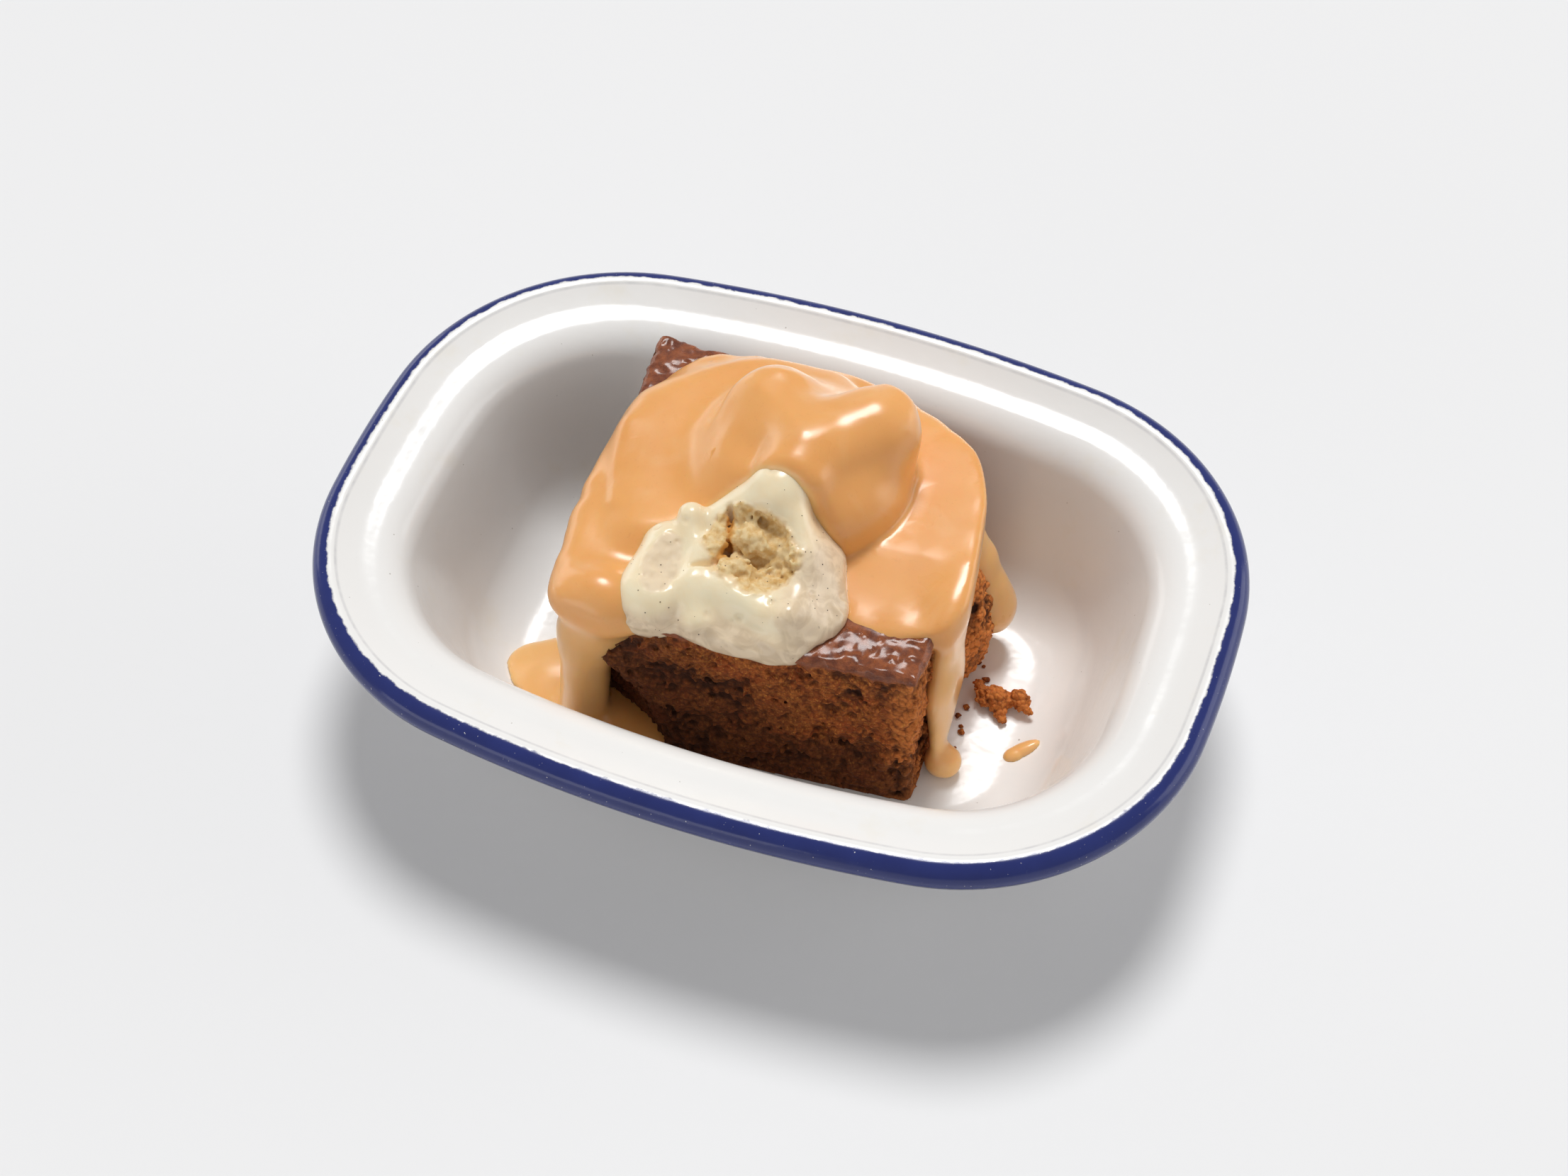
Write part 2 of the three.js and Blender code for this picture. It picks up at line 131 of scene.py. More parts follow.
def bubbles(p, size, seed, share=1.0, stretch=(1, 1, 1)):
    """Distance to the nearest of many scattered points, one in that share of the cells of that size."""
    q = p / (size * np.asarray(stretch, float))
    base = np.floor(q)
    nearest = np.full(len(p), FAR_CELLS)
    for corner in itertools.product((-1, 0, 1), repeat=3):
        cell = base + corner
        centre = np.stack([cell_value(cell, seed + i) for i in range(3)], 1)
        away = np.linalg.norm(cell + centre - q, axis=1)
        if share < 1:
            away = np.where(cell_value(cell, seed + 7) < share, away, FAR_CELLS)
        nearest = np.minimum(nearest, away)
    return nearest * size


def humps(p, size, width, seed, share=1.0, stretch=(1, 1, 1)):
    """Rounded bumps from 0 to 1 round scattered points, each of them width across."""
    return np.maximum(0, 1 - (bubbles(p, size, seed, share, stretch) / (width / 2)) ** 2)


def noises(p, *layers):
    """Sum of noises, each given as its height, its size and its seed."""
    return sum(height * noise(p, size, seed) for height, size, seed in layers)


def all_humps(p, *kinds):
    """Sum of kinds of humps, each with its height."""
    return sum(kind["height"] * humps(p, **{k: kind[k] for k in kind if k != "height"}) for kind in kinds)


# ---- the dish's plan and section, as in the CAD model ----

def plan_of_quarter():
    """Middles of the end's, the side's and the corner's arcs, and the angles where the corner meets them."""
    end = DISH["length"] / 2 - DISH["rim_radius"] - DISH["end_radius"]
    side = DISH["width"] / 2 - DISH["rim_radius"] - DISH["side_radius"]
    to_end = DISH["end_radius"] - DISH["corner_radius"]
    to_side = DISH["side_radius"] - DISH["corner_radius"]
    between = math.hypot(end, side)
    along = (to_end**2 - to_side**2 + between**2) / (2 * between)
    aside = math.sqrt(to_end**2 - along**2)
    ux, uy = -end / between, side / between
    corner = (end + along * ux - aside * uy, along * uy + aside * ux)
    low = math.atan2(corner[1], corner[0] - end)
    high = math.atan2(corner[1] - side, corner[0])
    return end, side, corner, low, high


END_CENTRE, SIDE_CENTRE, CORNER, LOW_ANGLE, HIGH_ANGLE = plan_of_quarter()


def bowl_section():
    """Centres of the shoulder and foot arcs, and the top of the straight wall, as [inset, height]."""
    slope = DISH["wall_slope"]
    out, up = math.sin(slope), 1 - math.cos(slope)
    shoulder = (DISH["shoulder_inset"], DISH["flange_top"] - DISH["shoulder_radius"])
    wall_top = (
        shoulder[0] + DISH["shoulder_radius"] * out,
        DISH["flange_top"] - DISH["shoulder_radius"] * up,
    )
    wall_foot = DISH["sheet"] + DISH["foot_radius"] * up
    foot = wall_top[0] + (wall_top[1] - wall_foot) / math.tan(slope) + DISH["foot_radius"] * out
    return shoulder, wall_top, (foot, DISH["sheet"] + DISH["foot_radius"])


SHOULDER, WALL_TOP, FOOT = bowl_section()


def inset_at(p):
    """How far each point lies inside the line of the rim's middle, in plan."""
    ax, ay = np.abs(p[:, 0]), np.abs(p[:, 1])
    inset = DISH["corner_radius"] - np.hypot(ax - CORNER[0], ay - CORNER[1])
    at_end = np.arctan2(ay, ax - END_CENTRE) < LOW_ANGLE
    at_side = np.arctan2(ay - SIDE_CENTRE, ax) > HIGH_ANGLE
    inset = np.where(at_side, DISH["side_radius"] - np.hypot(ax, ay - SIDE_CENTRE), inset)
    return np.where(at_end, DISH["end_radius"] - np.hypot(ax - END_CENTRE, ay), inset)


def bowl(p):
    """Distance to the dish's upper surface, negative in the space of the bowl."""
    c, s = math.cos(DISH["wall_slope"]), math.sin(DISH["wall_slope"])
    inset, z = inset_at(p), p[:, 2]
    foot_x, foot_z = inset - FOOT[0], z - FOOT[1]
    shoulder_x, shoulder_z = inset - SHOULDER[0], z - SHOULDER[1]
    wall = (WALL_TOP[0] - inset) * s + (WALL_TOP[1] - z) * c
    shoulder = DISH["shoulder_radius"] - np.hypot(shoulder_x, shoulder_z)
    foot = np.hypot(foot_x, foot_z) - DISH["foot_radius"]
    d = np.where(shoulder_x * c < shoulder_z * s, shoulder, wall)
    d = np.where(shoulder_x < 0, DISH["flange_top"] - z, d)
    d = np.where(foot_z * s < foot_x * c, foot, d)
    return np.where(foot_x > 0, DISH["sheet"] - z, d)


# ---- the pudding ----

CAKE = dict(
    corners=[(-35, -30.8), (36, -23.4), (35, 38.5), (-42, 42.5)],
    rounding=[9, 2, 30, 1.5], top=42.6, edge=2,
)
BULGE = dict(centre=(34.5, 14, 13), radii=(6, 9, 15))
BULGE_BLEND = 3
DISH_SEAM = 0.5
TORN = [
    dict(centre=(-34, -33, 4), radii=(20, 13, 26), blend=3),
    dict(centre=(17.5, -28.6, 19), radii=(2.6, 4.6, 7), blend=1),
    dict(centre=(24, -28, 14.5), radii=(7.5, 4.6, 5), blend=1.5),
    dict(centre=(31, -25.8, 9), radii=(3, 2.4, 4), blend=1.5),
    dict(centre=(13.5, -29.2, 37), radii=(4.4, 4.6, 2.6), blend=1),
    dict(centre=(-2, -30, 38), radii=(7, 3.2, 1.4), blend=1),
    dict(centre=(-22, -31.5, 37), radii=(3, 3, 1.8), blend=1),
]


def plan_distance(p, corners, rounding):
    """Distance in plan to a convex shape with rounded corners, given anticlockwise."""
    corners = np.array(corners, float)
    ends = np.roll(corners, -1, axis=0)
    sides = []
    for a, b in zip(corners, ends):
        ex, ey = b - a
        sides.append(((p[:, 0] - a[0]) * ey - (p[:, 1] - a[1]) * ex) / math.hypot(ex, ey))
    plan = np.full(len(p), -1e3)
    for i, side in enumerate(sides):
        plan = np.maximum(plan, meet(side, sides[i - 1], rounding[i]))
    return plan


def cake(p):
    plan = plan_distance(p, CAKE["corners"], CAKE["rounding"])
    block = meet(meet(plan, p[:, 2] - CAKE["top"], CAKE["edge"]), bowl(p), DISH_SEAM)
    whole = join(block, ellipsoid(p, **BULGE), BULGE_BLEND)
    for hollow in TORN:
        whole = meet(whole, -ellipsoid(p, hollow["centre"], hollow["radii"]), hollow["blend"])
    return whole


CRUST_EDGE = (CAKE["top"] - 2.6, CAKE["top"] - 1.2)
CRUMB_HOLLOWS = [(0.7, 7, 11), (0.6, 3, 12)]
CRUMB_PORES = [
    dict(height=1.4, size=4.8, width=3.4, seed=31, share=0.35, stretch=(1.2, 1, 0.8)),
    dict(height=0.8, size=2.4, width=2, seed=22, share=0.5),
]
CRUMB_GRAINS = dict(height=1.0, size=1.5, width=1.7, seed=21)
GRAIN_NOISE = (0.4, 1.1, 23)
CRUMB_SET_BACK = 0.5
CRUMB_PROUDEST = 0.45
CRUST_WRINKLES = [(0.3, 4, 51), (0.15, 1.8, 52), (0.3, 1.1, 53)]
COAT_HIDES = dict(inside=(1, 3), above=(40, 41))
FLOOR_HIDES_UP_TO = (1.7, 2.4)


def cake_detail(p, value):
    """Grains and pores on the cut faces and a wrinkled crust, but not under the coat or on the floor."""
    crust = step(p[:, 2], *CRUST_EDGE)
    grains = all_humps(p, CRUMB_GRAINS) + noises(p, GRAIN_NOISE)
    crumb = noises(p, *CRUMB_HOLLOWS) + all_humps(p, *CRUMB_PORES) - grains + CRUMB_SET_BACK
    crumb = np.maximum(crumb, -CRUMB_PROUDEST)
    skin = noises(p, *CRUST_WRINKLES)
    inside_coat = -plan_distance(p, COAT["corners"], [COAT_ROUNDING] * len(COAT["corners"]))
    under_coat = step(inside_coat, *COAT_HIDES["inside"]) * step(p[:, 2], *COAT_HIDES["above"])
    shown = (1 - under_coat) * step(p[:, 2], *FLOOR_HIDES_UP_TO)
    return value + (crumb * (1 - crust) + skin * crust) * shown


# ---- the ice cream ----

MOUND = [
    dict(centre=(2.5, 14, 46), radii=(16, 17, 12), turn=20, blend=1),
    dict(centre=(-7, 13, 45), radii=(12, 14, 11.4), turn=0, blend=6),
    dict(start=(1.4, 3.4, 56.4), end=(2, 11, 55.8), radii=(4.4, 5), blend=4),
    dict(start=(2, 11, 55.5), end=(12, 20.4, 56.4), radii=(5, 6.2), blend=4),
    dict(centre=(1.4, 6, 58.2), radii=(4.4, 6.6, 2.6), turn=0, blend=2),
    dict(centre=(6.6, 15.6, 58.6), radii=(10.5, 5, 3), turn=49, blend=2),
    dict(start=(2, 11, 55.5), end=(-8.5, 21, 53), radii=(5, 7), blend=4),
]
SCOOP = [
    dict(centre=(1.5, -8, 44), radii=(14.4, 14, 9), turn=10, blend=5),
    dict(start=(0, 1, 56.5), end=(5, -9, 50), radii=(4.5, 6.5), blend=4),
    dict(start=(-1, 0, 56), end=(-13, -6.5, 47), radii=(4.6, 3.5), blend=3),
    dict(start=(-8, -18, 45), end=(8.5, -18.5, 45), radii=(6, 6), blend=3),
    dict(start=(-17.8, -12, 45), end=(-17.4, -22.5, 43), radii=(6, 7.5), blend=4),
    dict(start=(-15.3, -6.8, 51), end=(-15.3, -7.5, 47), radii=(2.8, 3), blend=1.5),
    dict(start=(-14.6, -9, 49.4), end=(-10.6, -19.6, 48), radii=(2.6, 2.8), blend=1.5),
    dict(start=(-10.6, -19.6, 48), end=(-7.6, -25, 44.5), radii=(2.8, 3), blend=2),
    dict(centre=(-2, -22.5, 42), radii=(15, 6, 4), turn=0, blend=3),
    dict(centre=(9, -22.3, 42), radii=(5.5, 5, 4.5), turn=15, blend=3),
    dict(start=(8.5, -19, 46), end=(9.5, -21.5, 49), radii=(3, 2), blend=2),
    dict(centre=(13, -14.4, 43.2), radii=(6, 6.8, 3.6), turn=0, blend=4),
]
CRATER = dict(centre=(-1.8, -12.4, 55.2), radii=(9.4, 7, 6), turn=-25)
LOBE_HOLLOW = dict(centre=(-15.8, -18.5, 53.4), radii=(4.6, 7.5, 4), turn=0)
BROKEN = [
    dict(centre=(-9.6, -12, 49.6), radii=(3, 4.6, 2.6), turn=-20, blend=1),
    dict(centre=(-7.4, -8, 50.8), radii=(3, 2, 2), turn=10, blend=1),
    dict(centre=(-1.6, -8, 50.8), radii=(4.6, 3.4, 2.8), turn=-10, blend=1.5),
    dict(centre=(-2.6, -15, 49), radii=(3.4, 2.2, 2.6), turn=30, blend=1),
]
CRACKS = [
    dict(start=(-8.2, -4.8, 53), end=(-6.2, -9.9, 49.6), radii=(0.6, 0.8), squash=(1, 1, 0.3)),
    dict(start=(-6.2, -9.9, 49.6), end=(-7, -15, 49.8), radii=(0.8, 0.6), squash=(1, 1, 0.3)),
    dict(start=(-11, -17.6, 51.2), end=(-7, -15.4, 50.6), radii=(0.6, 0.7), squash=(1, 1, 0.4)),
    dict(start=(-3.4, -5, 53.6), end=(-1.6, -5.6, 53.2), radii=(0.9, 0.8), squash=(1, 1, 0.8)),
    dict(start=(1.4, -8.8, 53.2), end=(3.6, -9.4, 52.8), radii=(0.9, 0.7), squash=(1, 1, 0.8)),
    dict(start=(-4.2, -9.6, 52.6), end=(-3, -10.6, 52.2), radii=(0.6, 0.6), squash=(1, 1, 0.8)),
    dict(start=(-0.6, -12, 50.4), end=(3.6, -13.4, 51), radii=(1.3, 1.1), squash=(1, 1, 0.6)),
    dict(start=(-2.4, -17, 51.4), end=(0.6, -18, 51.4), radii=(0.7, 0.7), squash=(1, 1, 0.8)),
    dict(start=(6.4, -17, 51.8), end=(7.8, -18, 51.8), radii=(0.8, 0.7), squash=(1, 1, 0.8)),
]
SCOOP_BLEND = 3
CRATER_LIP = dict(sharp=1.5, softer=5, between=(-4, 4))
HOLLOW_LIP = 2
BROKEN_BLEND = 1
CRACK_LIP = 0.6
CRATER_REGION = dict(centre=(-1.8, -12.2, 53.5), radii=(11, 8.4, 8), turn=-25)
CRATER_RAGGED = [(1.2, 3, 65), (0.6, 1.2, 66)]
CRATER_FADE = 1.6
HOLLOW_REGION = dict(centre=(-16.8, -18.8, 51), radii=(4.4, 7.4, 5))
HOLLOW_RAGGED = (0.5, 2, 59)
HOLLOW_FADE = 1.2
SPONGY = [(0.8, 3, 61), (0.5, 1.4, 62), (0.35, 0.8, 63)]
SPONGY_HUMPS = [
    dict(height=0.9, size=2.6, width=1.8, seed=67, share=0.5),
    dict(height=-0.5, size=1.5, width=1.4, seed=58),
]
GRAINY = [(0.3, 1.6, 68), (0.2, 0.8, 69)]
FOLDS = dict(top=47.5, rise=3, depth=0.45, size=2.2, seed=70, stretch=(3.2, 1, 1), warp=(0.5, 5, 60))
DIMPLES = dict(height=0.4, size=3.6, width=1.8, seed=55, share=0.25)
SOFT_WAVES = (0.35, 5, 64)


def lumps(p, parts):
    """Distance to ellipsoids and bars, each joined to those before it."""
    total = np.full(len(p), 1e3)
    for part in parts:
        shape = {k: part[k] for k in part if k != "blend"}
        form = ellipsoid if "centre" in part else bar
        total = join(total, form(p, **shape), part["blend"])
    return total


def mound(p):
    return lumps(p, MOUND)


def ice_cream(p):
    scoop = join(mound(p), lumps(p, SCOOP), SCOOP_BLEND)
    crater_lip = CRATER_LIP["sharp"] + CRATER_LIP["softer"] * step(p[:, 0], *CRATER_LIP["between"])
    scoop = meet(scoop, -ellipsoid(p, **CRATER), crater_lip)
    scoop = meet(scoop, -ellipsoid(p, **LOBE_HOLLOW), HOLLOW_LIP)
    scoop = join(scoop, lumps(p, BROKEN), BROKEN_BLEND)
    for crack in CRACKS:
        scoop = meet(scoop, -bar(p, **crack), CRACK_LIP)
    return scoop


def in_crater(p):
    """How far each point belongs to the broken inside of the scoop, from 0 to 1."""
    return step(-ellipsoid(p, **CRATER_REGION) + noises(p, *CRATER_RAGGED), 0, CRATER_FADE)


def in_lobe_hollow(p):
    """How far each point belongs to the grainy hollow in the left lobe, from 0 to 1."""
    return step(-ellipsoid(p, **HOLLOW_REGION) + noises(p, HOLLOW_RAGGED), 0, HOLLOW_FADE)


def ice_detail(p, value):
    """A spongy broken crater, a grainy hollow in the left lobe, dimples, and folds in the melted foot."""
    crater, hollow = in_crater(p), in_lobe_hollow(p)
    spongy = noises(p, *SPONGY) + all_humps(p, *SPONGY_HUMPS)
    foot = 1 - step(p[:, 2], FOLDS["top"] - FOLDS["rise"], FOLDS["top"])
    warped = p / np.array(FOLDS["stretch"]) + noises(p, FOLDS["warp"])[:, None]
    folds = FOLDS["depth"] * np.abs(noise(warped, FOLDS["size"], FOLDS["seed"]))
    smooth = noises(p, SOFT_WAVES) + all_humps(p, DIMPLES) * (1 - foot) + folds * foot
    rough = spongy * crater + noises(p, *GRAINY) * hollow * (1 - crater)
    return value + rough + smooth * (1 - np.maximum(crater, hollow))


# ---- the toffee sauce ----

COAT = dict(
    corners=[
        (-35, -30.4), (-19, -29.6), (21, -18.4), (29, -16), (37, -12), (40, -6), (39.4, 2), (38, 11),
        (36.2, 19.5), (32.5, 28), (27.5, 34), (17, 41), (2, 45.5), (-9, 45), (-24, 43), (-31, 40),
        (-35, 35), (-38.5, 27), (-40.5, 18), (-41.9, 8), (-40.9, -12), (-38.2, -26),
    ],
    edge=6, hem=39, bead=3,
)
HUMP = dict(
    corners=[
        (0, 0), (12, 30), (0, 40), (-19, 39.5), (-32, 31), (-39, 22), (-39.6, 12), (-36, 2), (-32.4, -10),
        (-27, -15), (-14, -11),
    ],
    edge=6, hem=40, bead=1,
)
COAT_ROUNDING = 2
COAT_TOP = dict(height=46, rise=0.1, rise_from=18, rise_over=(-6, 20))
DROOP = dict(slope=0.22, start=3, over=22, between=(4, 14))
CRISP_EDGE = dict(cut=4.2, between=(18, 32))
HUMP_TOP = dict(height=51, rise_along=0.09, rise_across=0.02)
HUMP_BLEND = 3
OVER_SCOOP = dict(thickness=2.8, edge=0.3, middle=0.6, bend=0.026, reach=15, lip=4)
SCOOP_FOOT = dict(sharp=1.5, softer=4, between=(-14, 2))
SAUCE_FALLS = [
    dict(start=(-27.2, -25, 39.6), end=(-30, -25.5, 29), radii=(9, 6), blend=3, squash=(1, 1.4, 1)),
    dict(start=(-31, -25.5, 30), end=(-32.8, -25.5, 4), radii=(5.2, 5), blend=4, squash=(1, 1, 1)),
    dict(start=(36.5, -4, 37.4), end=(36.8, -7, 24), radii=(8.5, 6), blend=3, squash=(2.4, 1, 1)),
    dict(start=(36.8, -7, 24), end=(38, -12, 8), radii=(5.6, 2.8), blend=3, squash=(1.8, 1, 1)),
    dict(start=(29, 21, 37), end=(33.6, 21.5, 25), radii=(5, 4.4), blend=3, squash=(1, 1, 1)),
    dict(start=(33.6, 21.5, 25), end=(37.6, 21.2, 12), radii=(4.4, 6), blend=2, squash=(1, 1, 1)),
]
SAUCE_POOLS = [
    dict(centre=(-36.5, -18, 1.5), radii=(17, 10, 3.6), turn=12, blend=3),
    dict(centre=(-26, -25.5, 1.5), radii=(12.5, 6.5, 3), turn=0, blend=3),
    dict(centre=(39.5, -13.3, 4), radii=(3.8, 3.8, 3.6), turn=0, blend=2),
    dict(centre=(26.5, -11, 40.4), radii=(10, 6.2, 2.2), turn=8, blend=1),
]


def slab(p, top, corners, edge, hem, bead):
    """Distance to a poured layer over a convex plan, between its top's height at each point and the hem."""
    plan = plan_distance(p, corners, [COAT_ROUNDING] * len(corners))
    above = p[:, 2] - top
    crisp = CRISP_EDGE["cut"] * step(p[:, 0], *CRISP_EDGE["between"])
    return meet(meet(plan, above, edge - crisp), hem - p[:, 2], bead)


def sauce(p):
    x, y, _ = p.T
    from_middle = np.minimum(np.abs(x - OVER_SCOOP["middle"]), OVER_SCOOP["reach"])
    edge = OVER_SCOOP["edge"] - OVER_SCOOP["bend"] * from_middle ** 2
    on_scoop = meet(mound(p) - OVER_SCOOP["thickness"], edge - y, OVER_SCOOP["lip"])
    towards_front = np.clip(DROOP["start"] - y, 0, DROOP["over"]) * step(x, *DROOP["between"])
    towards_right = np.clip(x - COAT_TOP["rise_from"], *COAT_TOP["rise_over"])
    coat_top = COAT_TOP["height"] + COAT_TOP["rise"] * towards_right - DROOP["slope"] * towards_front
    hump_top = HUMP_TOP["height"] + HUMP_TOP["rise_along"] * x + HUMP_TOP["rise_across"] * y
    coat = join(slab(p, coat_top, **COAT), slab(p, hump_top, **HUMP), HUMP_BLEND)
    scoop_foot = SCOOP_FOOT["sharp"] + SCOOP_FOOT["softer"] * step(-x, *SCOOP_FOOT["between"])
    total = join(coat, on_scoop, scoop_foot)
    for fall in SAUCE_FALLS:
        total = join(total, bar(p, fall["start"], fall["end"], fall["radii"], fall["squash"]), fall["blend"])
    for pool in SAUCE_POOLS:
        total = join(total, ellipsoid(p, pool["centre"], pool["radii"], pool["turn"]), pool["blend"])
    return meet(total, bowl(p), DISH_SEAM)


MOUND_RIDGES = [
    dict(path=[(1.2, 8.8), (-4, 14), (-12, 19.5)], rise=0.35, width=2.2),
    dict(path=[(20.5, 20), (18, 25), (12, 28)], rise=0.5, width=1.8),
    dict(path=[(-18.5, 14), (-17, 20), (-12, 24), (-5, 25)], rise=0.5, width=1.8),
    dict(path=[(-10, 8), (-6, 7)], rise=-0.8, width=4),
    dict(path=[(-33, -5), (-36, 4), (-37.5, 14)], rise=0.5, width=2.2),
]
ON_TOP = (44, 47)
RIPPLES = (0.3, 16, 71)
STREAMS = dict(layer=(0.3, 4, 73), stretch=(1, 1, 0.3))
SMALL_RIPPLES = (0.12, 5, 74)


def path_distance(p, path):
    """Distance in plan to a line through a few points."""
    nearest = np.full(len(p), 1e3)
    for start, end in zip(path, path[1:]):
        axis = np.subtract(end, start)
        q = p[:, :2] - np.asarray(start, float)
        t = np.clip(q @ axis / (axis @ axis), 0, 1)
        nearest = np.minimum(nearest, np.linalg.norm(q - t[:, None] * axis, axis=1))
    return nearest


def sauce_detail(p, value):
    """Soft ripples, and the ridges and hollows of the ice cream that show through the sauce."""
    on_top = step(p[:, 2], *ON_TOP)
    ripples = noises(p, RIPPLES)
    streams = noises(p * STREAMS["stretch"], STREAMS["layer"]) * (1 - on_top)
    for ridge in MOUND_RIDGES:
        away = path_distance(p, ridge["path"]) / ridge["width"]
        ripples = ripples - on_top * ridge["rise"] * np.exp(-away ** 2)
    return value + ripples + streams + noises(p, SMALL_RIPPLES)


# ---- what has fallen beside the cake ----

SUNK = 0.15
CRUMB = [
    dict(centre=(44.6, 5.4, 3.6), radii=(4.2, 2.4, 2.2), turn=8, blend=0.5),
    dict(centre=(49.4, 6.3, 4.2), radii=(2.3, 2, 2.4), turn=0, blend=1),
    dict(start=(42, 6, 3.4), end=(39.8, 8.2, 3.6), radii=(1.3, 0.7), blend=1),
    dict(start=(50, 5.6, 3.6), end=(52.6, 4.2, 3.4), radii=(1.5, 0.7), blend=1),
    dict(start=(46, 4, 3), end=(47.4, 1.6, 2.4), radii=(1.6, 0.9), blend=1),
]
CRUMB_ABOVE_DISH = 0.1
LOOSE_NOISE = (0.5, 2.2, 91)
LOOSE_GRAINS = dict(height=0.5, size=1.1, width=1.2, seed=92)
LOOSE_PORES = dict(height=0.6, size=2, width=1.5, seed=93, share=0.5)
LOOSE_SET_BACK = 0.2
DROPS = [
    dict(centre=(53.3, -4), radii=(3.9, 1.7), turn=43, depth=1.5),
    dict(centre=(52.2, -5.2), radii=(2.4, 1.7), turn=43, depth=1.4),
]
DROP_SKIRT = 0.4


def crumb(p):
    return np.maximum(lumps(p, CRUMB), bowl(p) + CRUMB_ABOVE_DISH)


def crumb_detail(p, value):
    """Grains and pores all over the loose crumb."""
    uneven = value + noises(p, LOOSE_NOISE)
    return uneven - all_humps(p, LOOSE_GRAINS) + all_humps(p, LOOSE_PORES) + LOOSE_SET_BACK


def drops(p):
    """Flat drops on the dish, deepest in their middles."""
    total = np.full(len(p), 1e3)
    for drop in DROPS:
        c, s = math.cos(math.radians(drop["turn"])), math.sin(math.radians(drop["turn"]))
        x, y = p[:, 0] - drop["centre"][0], p[:, 1] - drop["centre"][1]
        away = ((x * c + y * s) / drop["radii"][0]) ** 2 + ((y * c - x * s) / drop["radii"][1]) ** 2
        height = drop["depth"] * np.sqrt(np.maximum(1 - away, 0))
        total = np.minimum(total, -bowl(p) - height + DROP_SKIRT * np.maximum(away - 1, 0))
    return np.maximum(total, bowl(p) - SUNK)


# ---- meshing ----

def largest_body(count, groups):
    """Which vertices belong to the largest connected body."""
    label = np.arange(count)
    edges = np.concatenate([
        group[:, [i, (i + 1) % group.shape[1]]] for group in groups for i in range(group.shape[1])
    ])
    while True:
        low = np.minimum(label[edges[:, 0]], label[edges[:, 1]])
        new = label.copy()
        np.minimum.at(new, edges[:, 0], low)
        np.minimum.at(new, edges[:, 1], low)
        new = new[new]
        if np.array_equal(new, label):
            break
        label = new
    names, sizes = np.unique(label, return_counts=True)
    return label == names[sizes.argmax()]


def refined(values, factor, axis):
    """Values at factor times as many places along one axis, in straight lines between the old ones."""
    count = (values.shape[axis] - 1) * factor + 1
    at = np.arange(count) / factor
    base = np.minimum(at.astype(int), values.shape[axis] - 2)
    share = (at - base).reshape([-1 if i == axis else 1 for i in range(3)])
    return np.take(values, base, axis) * (1 - share) + np.take(values, base + 1, axis) * share


COARSE = 4
BAND = 2.2
VOLUME_EDGE_CELLS = 3
CELL_FACTOR = 1


def mesh_field(field, low, high, cell, detail=None, reach=0, adaptivity=0.0):
    """Points and faces of the largest body that a field's zero surface bounds.

    The field is worked out on a coarse grid first, and on the fine one only near the surface. The detail
    is added where the field is within reach of zero, and sinks into the dish by no more than SUNK.
    """
    cell = cell * CELL_FACTOR
    counts = [int(math.ceil((hi - lo) / (cell * COARSE))) + 2 for lo, hi in zip(low, high)]
    coarse = [lo - cell * COARSE + cell * COARSE * np.arange(n + 1) for lo, n in zip(low, counts)]
    points = np.stack(np.meshgrid(*coarse, indexing="ij"), -1).reshape(-1, 3)
    value = field(points).reshape([len(a) for a in coarse])
    for axis in range(3):
        value = refined(value, COARSE, axis)
    axes = [a[0] + cell * np.arange(n) for a, n in zip(coarse, value.shape)]
    near = np.argwhere(np.abs(value) < BAND + cell * COARSE / 2)
    points = np.stack([axis[near[:, i]] for i, axis in enumerate(axes)], 1)
    exact = field(points)
    if detail:
        close = np.abs(exact) < reach
        detailed = detail(points[close], exact[close])
        exact[close] = np.maximum(detailed, bowl(points[close]) - SUNK)
    value[tuple(near.T)] = exact
    volume = openvdb.FloatGrid(float(cell * VOLUME_EDGE_CELLS))
    volume.copyFromArray(value.astype(np.float32))
    volume.transform = openvdb.createLinearTransform(voxelSize=cell)
    vertices, triangles, quads = volume.convertToPolygons(isovalue=0, adaptivity=adaptivity)
    vertices = vertices.astype(float) + [a[0] for a in axes]
    keep = largest_body(len(vertices), [triangles, quads])
    new_index = np.cumsum(keep) - 1
    faces = []
    for group in (triangles, quads):
        faces += new_index[group[keep[group[:, 0]]]][:, ::-1].tolist()
    return vertices[keep], faces


def add_mesh(name, vertices, faces, material, slot, replaces=(), attributes=None):
    """A smooth-shaded piece from points in millimetres, riding on the dish's body."""
    mesh = bpy.data.meshes.new(name)
    mesh.from_pydata((vertices * MM).tolist(), [], faces)
    mesh.shade_smooth()
    for key, values in (attributes or {}).items():
        mesh.attributes.new(key, "FLOAT", "POINT").data.foreach_set("value", values.astype(np.float32))
    piece = bpy.data.objects.new(name, mesh)
    bpy.context.scene.collection.objects.link(piece)
    mesh.materials.append(material)
    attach(piece, "root")
    if replaces:
        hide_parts(*replaces)
    return piece


# ---- material helpers ----

# Places of a Mix node's colour sockets, which share their names with its other sockets.
MIX_COLOUR_A = 6
MIX_COLOUR_B = 7
MIX_COLOUR_RESULT = 2


